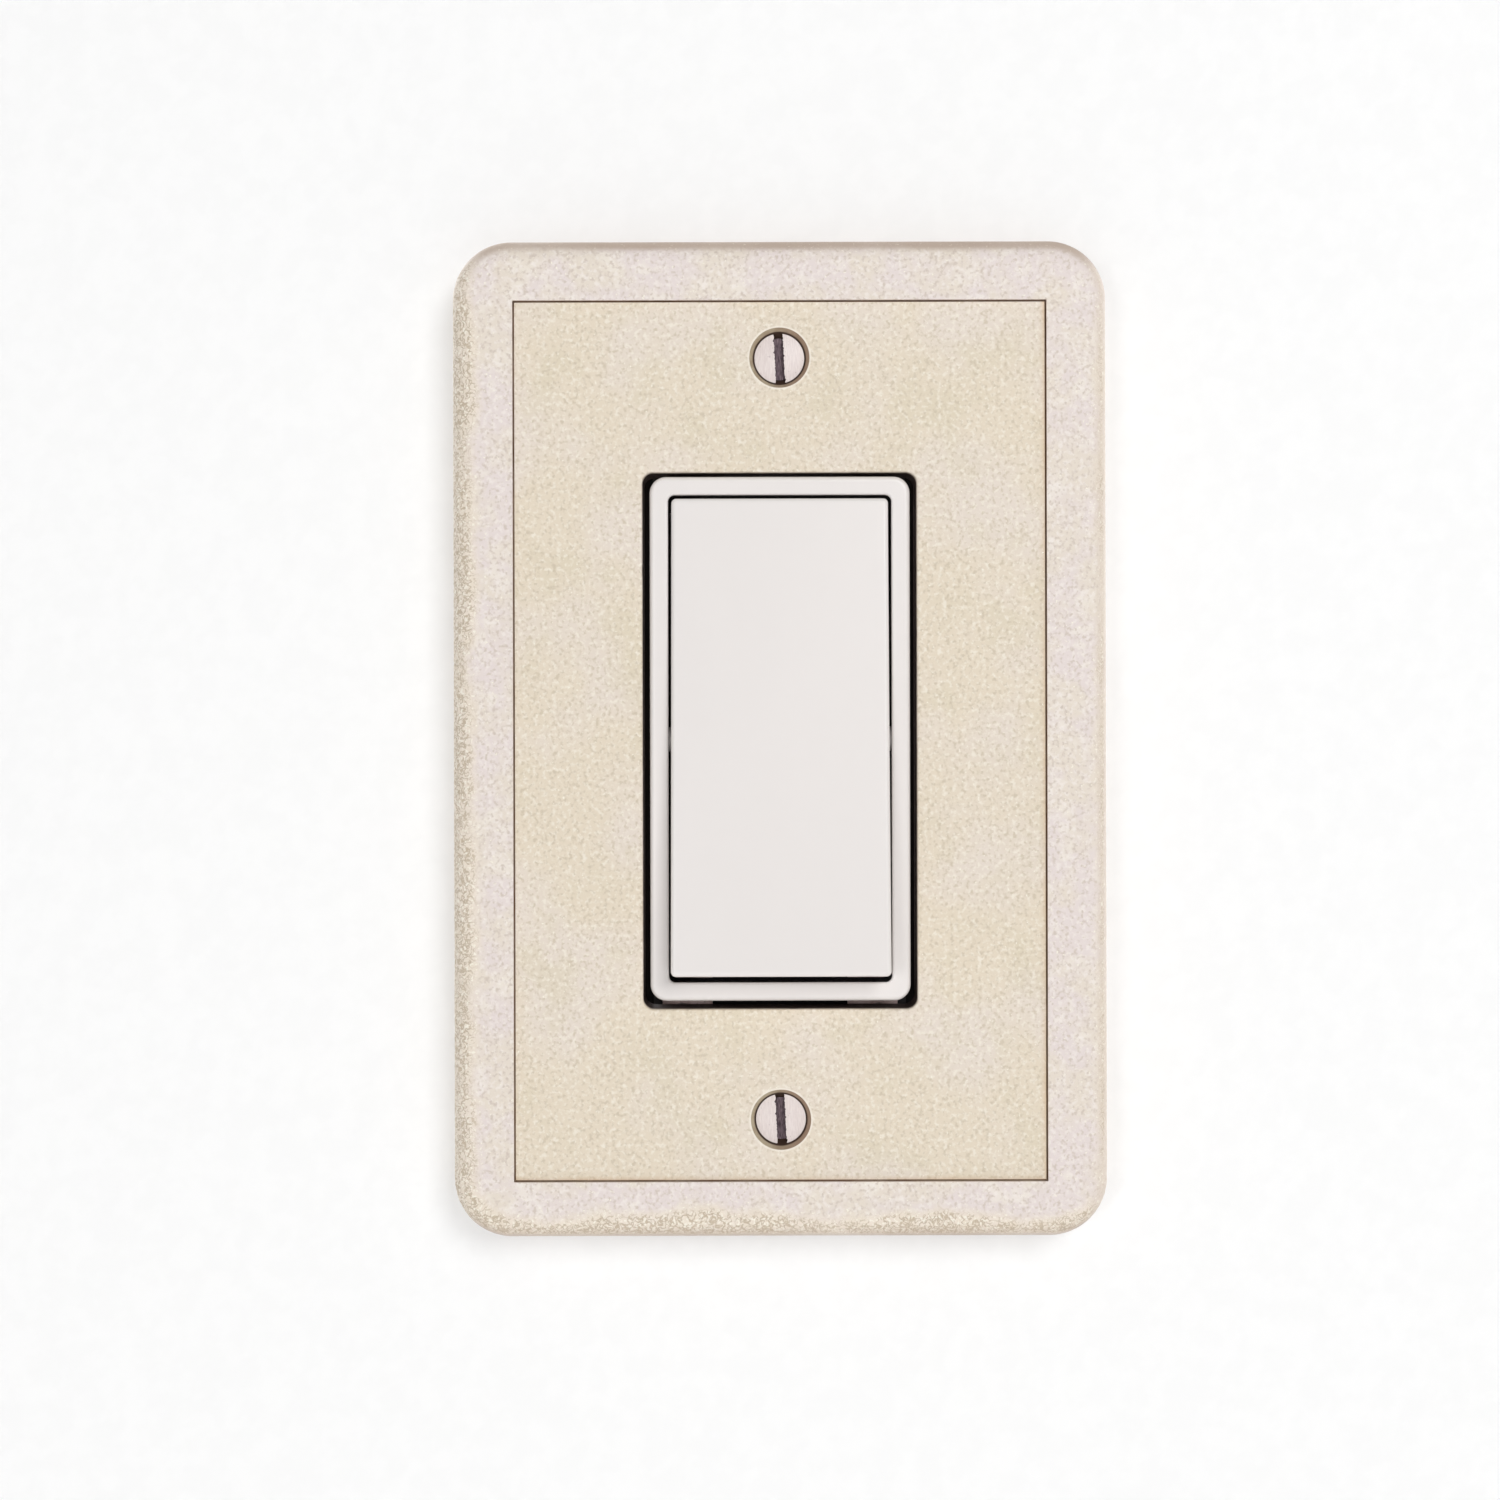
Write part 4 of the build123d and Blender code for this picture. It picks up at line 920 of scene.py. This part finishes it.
def cast_stone_plate():
    """The wall plate as one closed mesh, eaten into pits, with its holes and pockets cut."""
    low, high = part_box("wall_plate")
    half = ((high.x - low.x) / 2, (high.z - low.z) / 2)
    height = -low.y
    maker = bmesh.new()
    rings = [
        [maker.verts.new((p.x, -level, p.y)) for p in outline(size, radius, centre, fine)]
        for size, radius, centre, level, fine in plate_rings(half, height)
    ]
    for a, b in zip(rings, rings[1:] + rings[:1]):
        stitch(maker, a, b)
    mesh = mesh_of(maker, "wall_plate_stone")

    marks = mesh.attributes.new("stone", "FLOAT_COLOR", "POINT")
    stain_and_shade_layer = mesh.attributes.new("stain_and_shade", "FLOAT_COLOR", "POINT")
    normals = [Vector(v.normal) for v in mesh.vertices]
    for vertex, normal in zip(mesh.vertices, normals):
        place = vertex.co
        (rim, wear, groove), stain_and_shade = stone_marks(place, half, height)
        marks.data[vertex.index].color = (rim, wear, groove, 1)
        stain_and_shade_layer.data[vertex.index].color = (*stain_and_shade, 1)
        front = place.y < -2 * HOLLOW_HEIGHT and not groove and not in_groove(place)
        side = place.y < 0 and rim and edge_distance(place.x, place.z, half, CORNER_RADIUS) < NEAR
        if front or side:
            vertex.co = place - normal * stone_relief(place, wear, rim)

    mouth = height - PANEL_DROP
    sink = mouth - (COUNTERSINK_RADIUS - SCREW_HOLE_RADIUS) / COUNTERSINK_SLOPE
    over = height + COUNTERSINK_RADIUS
    bosses, holes = [], []
    for end in ENDS:
        screw_place, pocket_place = (0, end * SCREW_ROW), (0, end * HEAD_POCKET_ROW)
        bosses.append(turned([(BOSS_RADIUS, BOSS_HEIGHT), (BOSS_RADIUS, HEAD_POCKET_HEIGHT)], screw_place))
        holes.append(turned([(SCREW_HOLE_RADIUS, -HOLLOW_HEIGHT), (SCREW_HOLE_RADIUS, sink),
                             (COUNTERSINK_RADIUS, mouth), (COUNTERSINK_RADIUS, over)], screw_place, 96))
        holes.append(turned([(HEAD_POCKET_RADIUS, -HOLLOW_HEIGHT),
                             (HEAD_POCKET_RADIUS, HEAD_POCKET_HEIGHT)], pocket_place))
    mesh = combine(mesh, "UNION", *bosses)
    mesh = combine(mesh, "DIFFERENCE", *holes)

    # corners that came with the cutting tools carry full marks, so they are cleared
    for mark, stain_and_shade in zip(mesh.attributes["stone"].data, mesh.attributes["stain_and_shade"].data):
        if mark.color[0] > 0.5 and mark.color[2] > 0.5:
            mark.color = stain_and_shade.color = (0, 0, 0, 1)

    mesh.shade_smooth()
    mesh.set_sharp_from_angle(angle=radians(42))
    off_axes = [min(hypot(v.co.x, v.co.z - end * SCREW_ROW) for end in ENDS) for v in mesh.vertices]
    on_rim = [-RING_CREASE < off_axis - COUNTERSINK_RADIUS < NEAR for off_axis in off_axes]
    for edge in mesh.edges:
        if all(on_rim[index] for index in edge.vertices):
            edge.use_edge_sharp = True
    mesh.materials.clear()
    mesh.materials.append(cast_stone())
    return new_piece("stone_plate", mesh, "switch_body", "cast_stone", "wall_plate")


# ---------------------------------------------------------------- finishes and stage

def slot_finishes():
    """The finish of each material slot, by the slot's name."""
    made = {
        "switch_plastic": moulded_plastic("switch_plastic", SWITCH_WHITE, 0.26),
        "housing_plastic": moulded_plastic("housing_plastic", (0.030, 0.030, 0.033), 0.38, grain=0.3,
                                           depth=0.02, fade=0.2, dust=(0.050, 0.048, 0.046)),
        "deck_plastic": moulded_plastic("deck_plastic", (0.62, 0.6, 0.56), 0.45, grain=0.3, depth=0.01),
        "plated_steel": plated_metal("plated_steel", (0.84, 0.79, 0.77), (0.60, 0.54, 0.50), 0.4),
        "spring_steel": plated_metal("spring_steel", (0.55, 0.55, 0.56), (0.36, 0.35, 0.35), 0.28),
        "terminal_brass": plated_metal("terminal_brass", (0.80, 0.60, 0.27), (0.55, 0.37, 0.15), 0.26),
        "contact_silver": plated_metal("contact_silver", (0.88, 0.87, 0.84), (0.62, 0.58, 0.52), 0.2),
        "washer_fibre": moulded_plastic("washer_fibre", (0.17, 0.065, 0.04), 0.8, grain=0.2, depth=0.03,
                                        fade=0.4),
        "ground_green": plated_metal("ground_green", (0.05, 0.36, 0.13), (0.02, 0.20, 0.07), 0.34),
        "screw_paint": screw_paint(),
        "slot_steel": slot_steel(),
    }
    return made


def dress(nodes, finishes):
    """Puts the finishes on the CAD nodes; the bezel and the strap have a finish of their own."""
    for shown in nodes.values():
        for used in shown.material_slots:
            slot = used.material.name.split(".")[0]
            if slot in finishes:
                used.material = finishes[slot]
    own = {
        "front_frame": moulded_plastic("frame_plastic", SWITCH_WHITE, 0.26, painted_gap_shade=True),
        "mounting_strap": plated_metal("strap_steel", (0.97, 0.77, 0.75), (0.46, 0.32, 0.29), 0.34, 0.55),
    }
    for node, finish in own.items():
        for used in nodes[node].material_slots:
            used.material = finish


def make_stage():
    """A wall behind the plate and a floor well below it, lit by soft boxes and an even white world."""
    half = STAGE_SIZE / 2
    wall = plane("wall", [(-half, WALL_BEHIND, -FLOOR_BELOW), (half, WALL_BEHIND, -FLOOR_BELOW),
                          (half, WALL_BEHIND, half), (-half, WALL_BEHIND, half)])
    wall.data.materials.append(plaster())
    wall.visible_shadow = False
    ground = plane("floor", [(-half, -half, -FLOOR_BELOW), (half, -half, -FLOOR_BELOW),
                             (half, half, -FLOOR_BELOW), (-half, half, -FLOOR_BELOW)])
    ground.data.materials.append(floor_paint())

    for name, (place, size, power, colour) in LIGHTS.items():
        area_light(name, place, size, power, colour)
    world = bpy.data.worlds.new("studio")
    world.use_nodes = True
    background = world.node_tree.nodes["Background"]
    background.inputs["Color"].default_value = (1, 1, 1, 1)
    background.inputs["Strength"].default_value = WORLD_STRENGTH
    bpy.context.scene.world = world
    bpy.context.scene.view_settings.view_transform = "Standard"


# ---------------------------------------------------------------- assembly

make_camera()
cast_stone_plate()
finishes = slot_finishes()
dress(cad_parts, finishes)
for make in (plate_screws, box_screws, wiring_screws, grounding_screw):
    make(finishes)
make_stage()

bpy.context.view_layer.update()
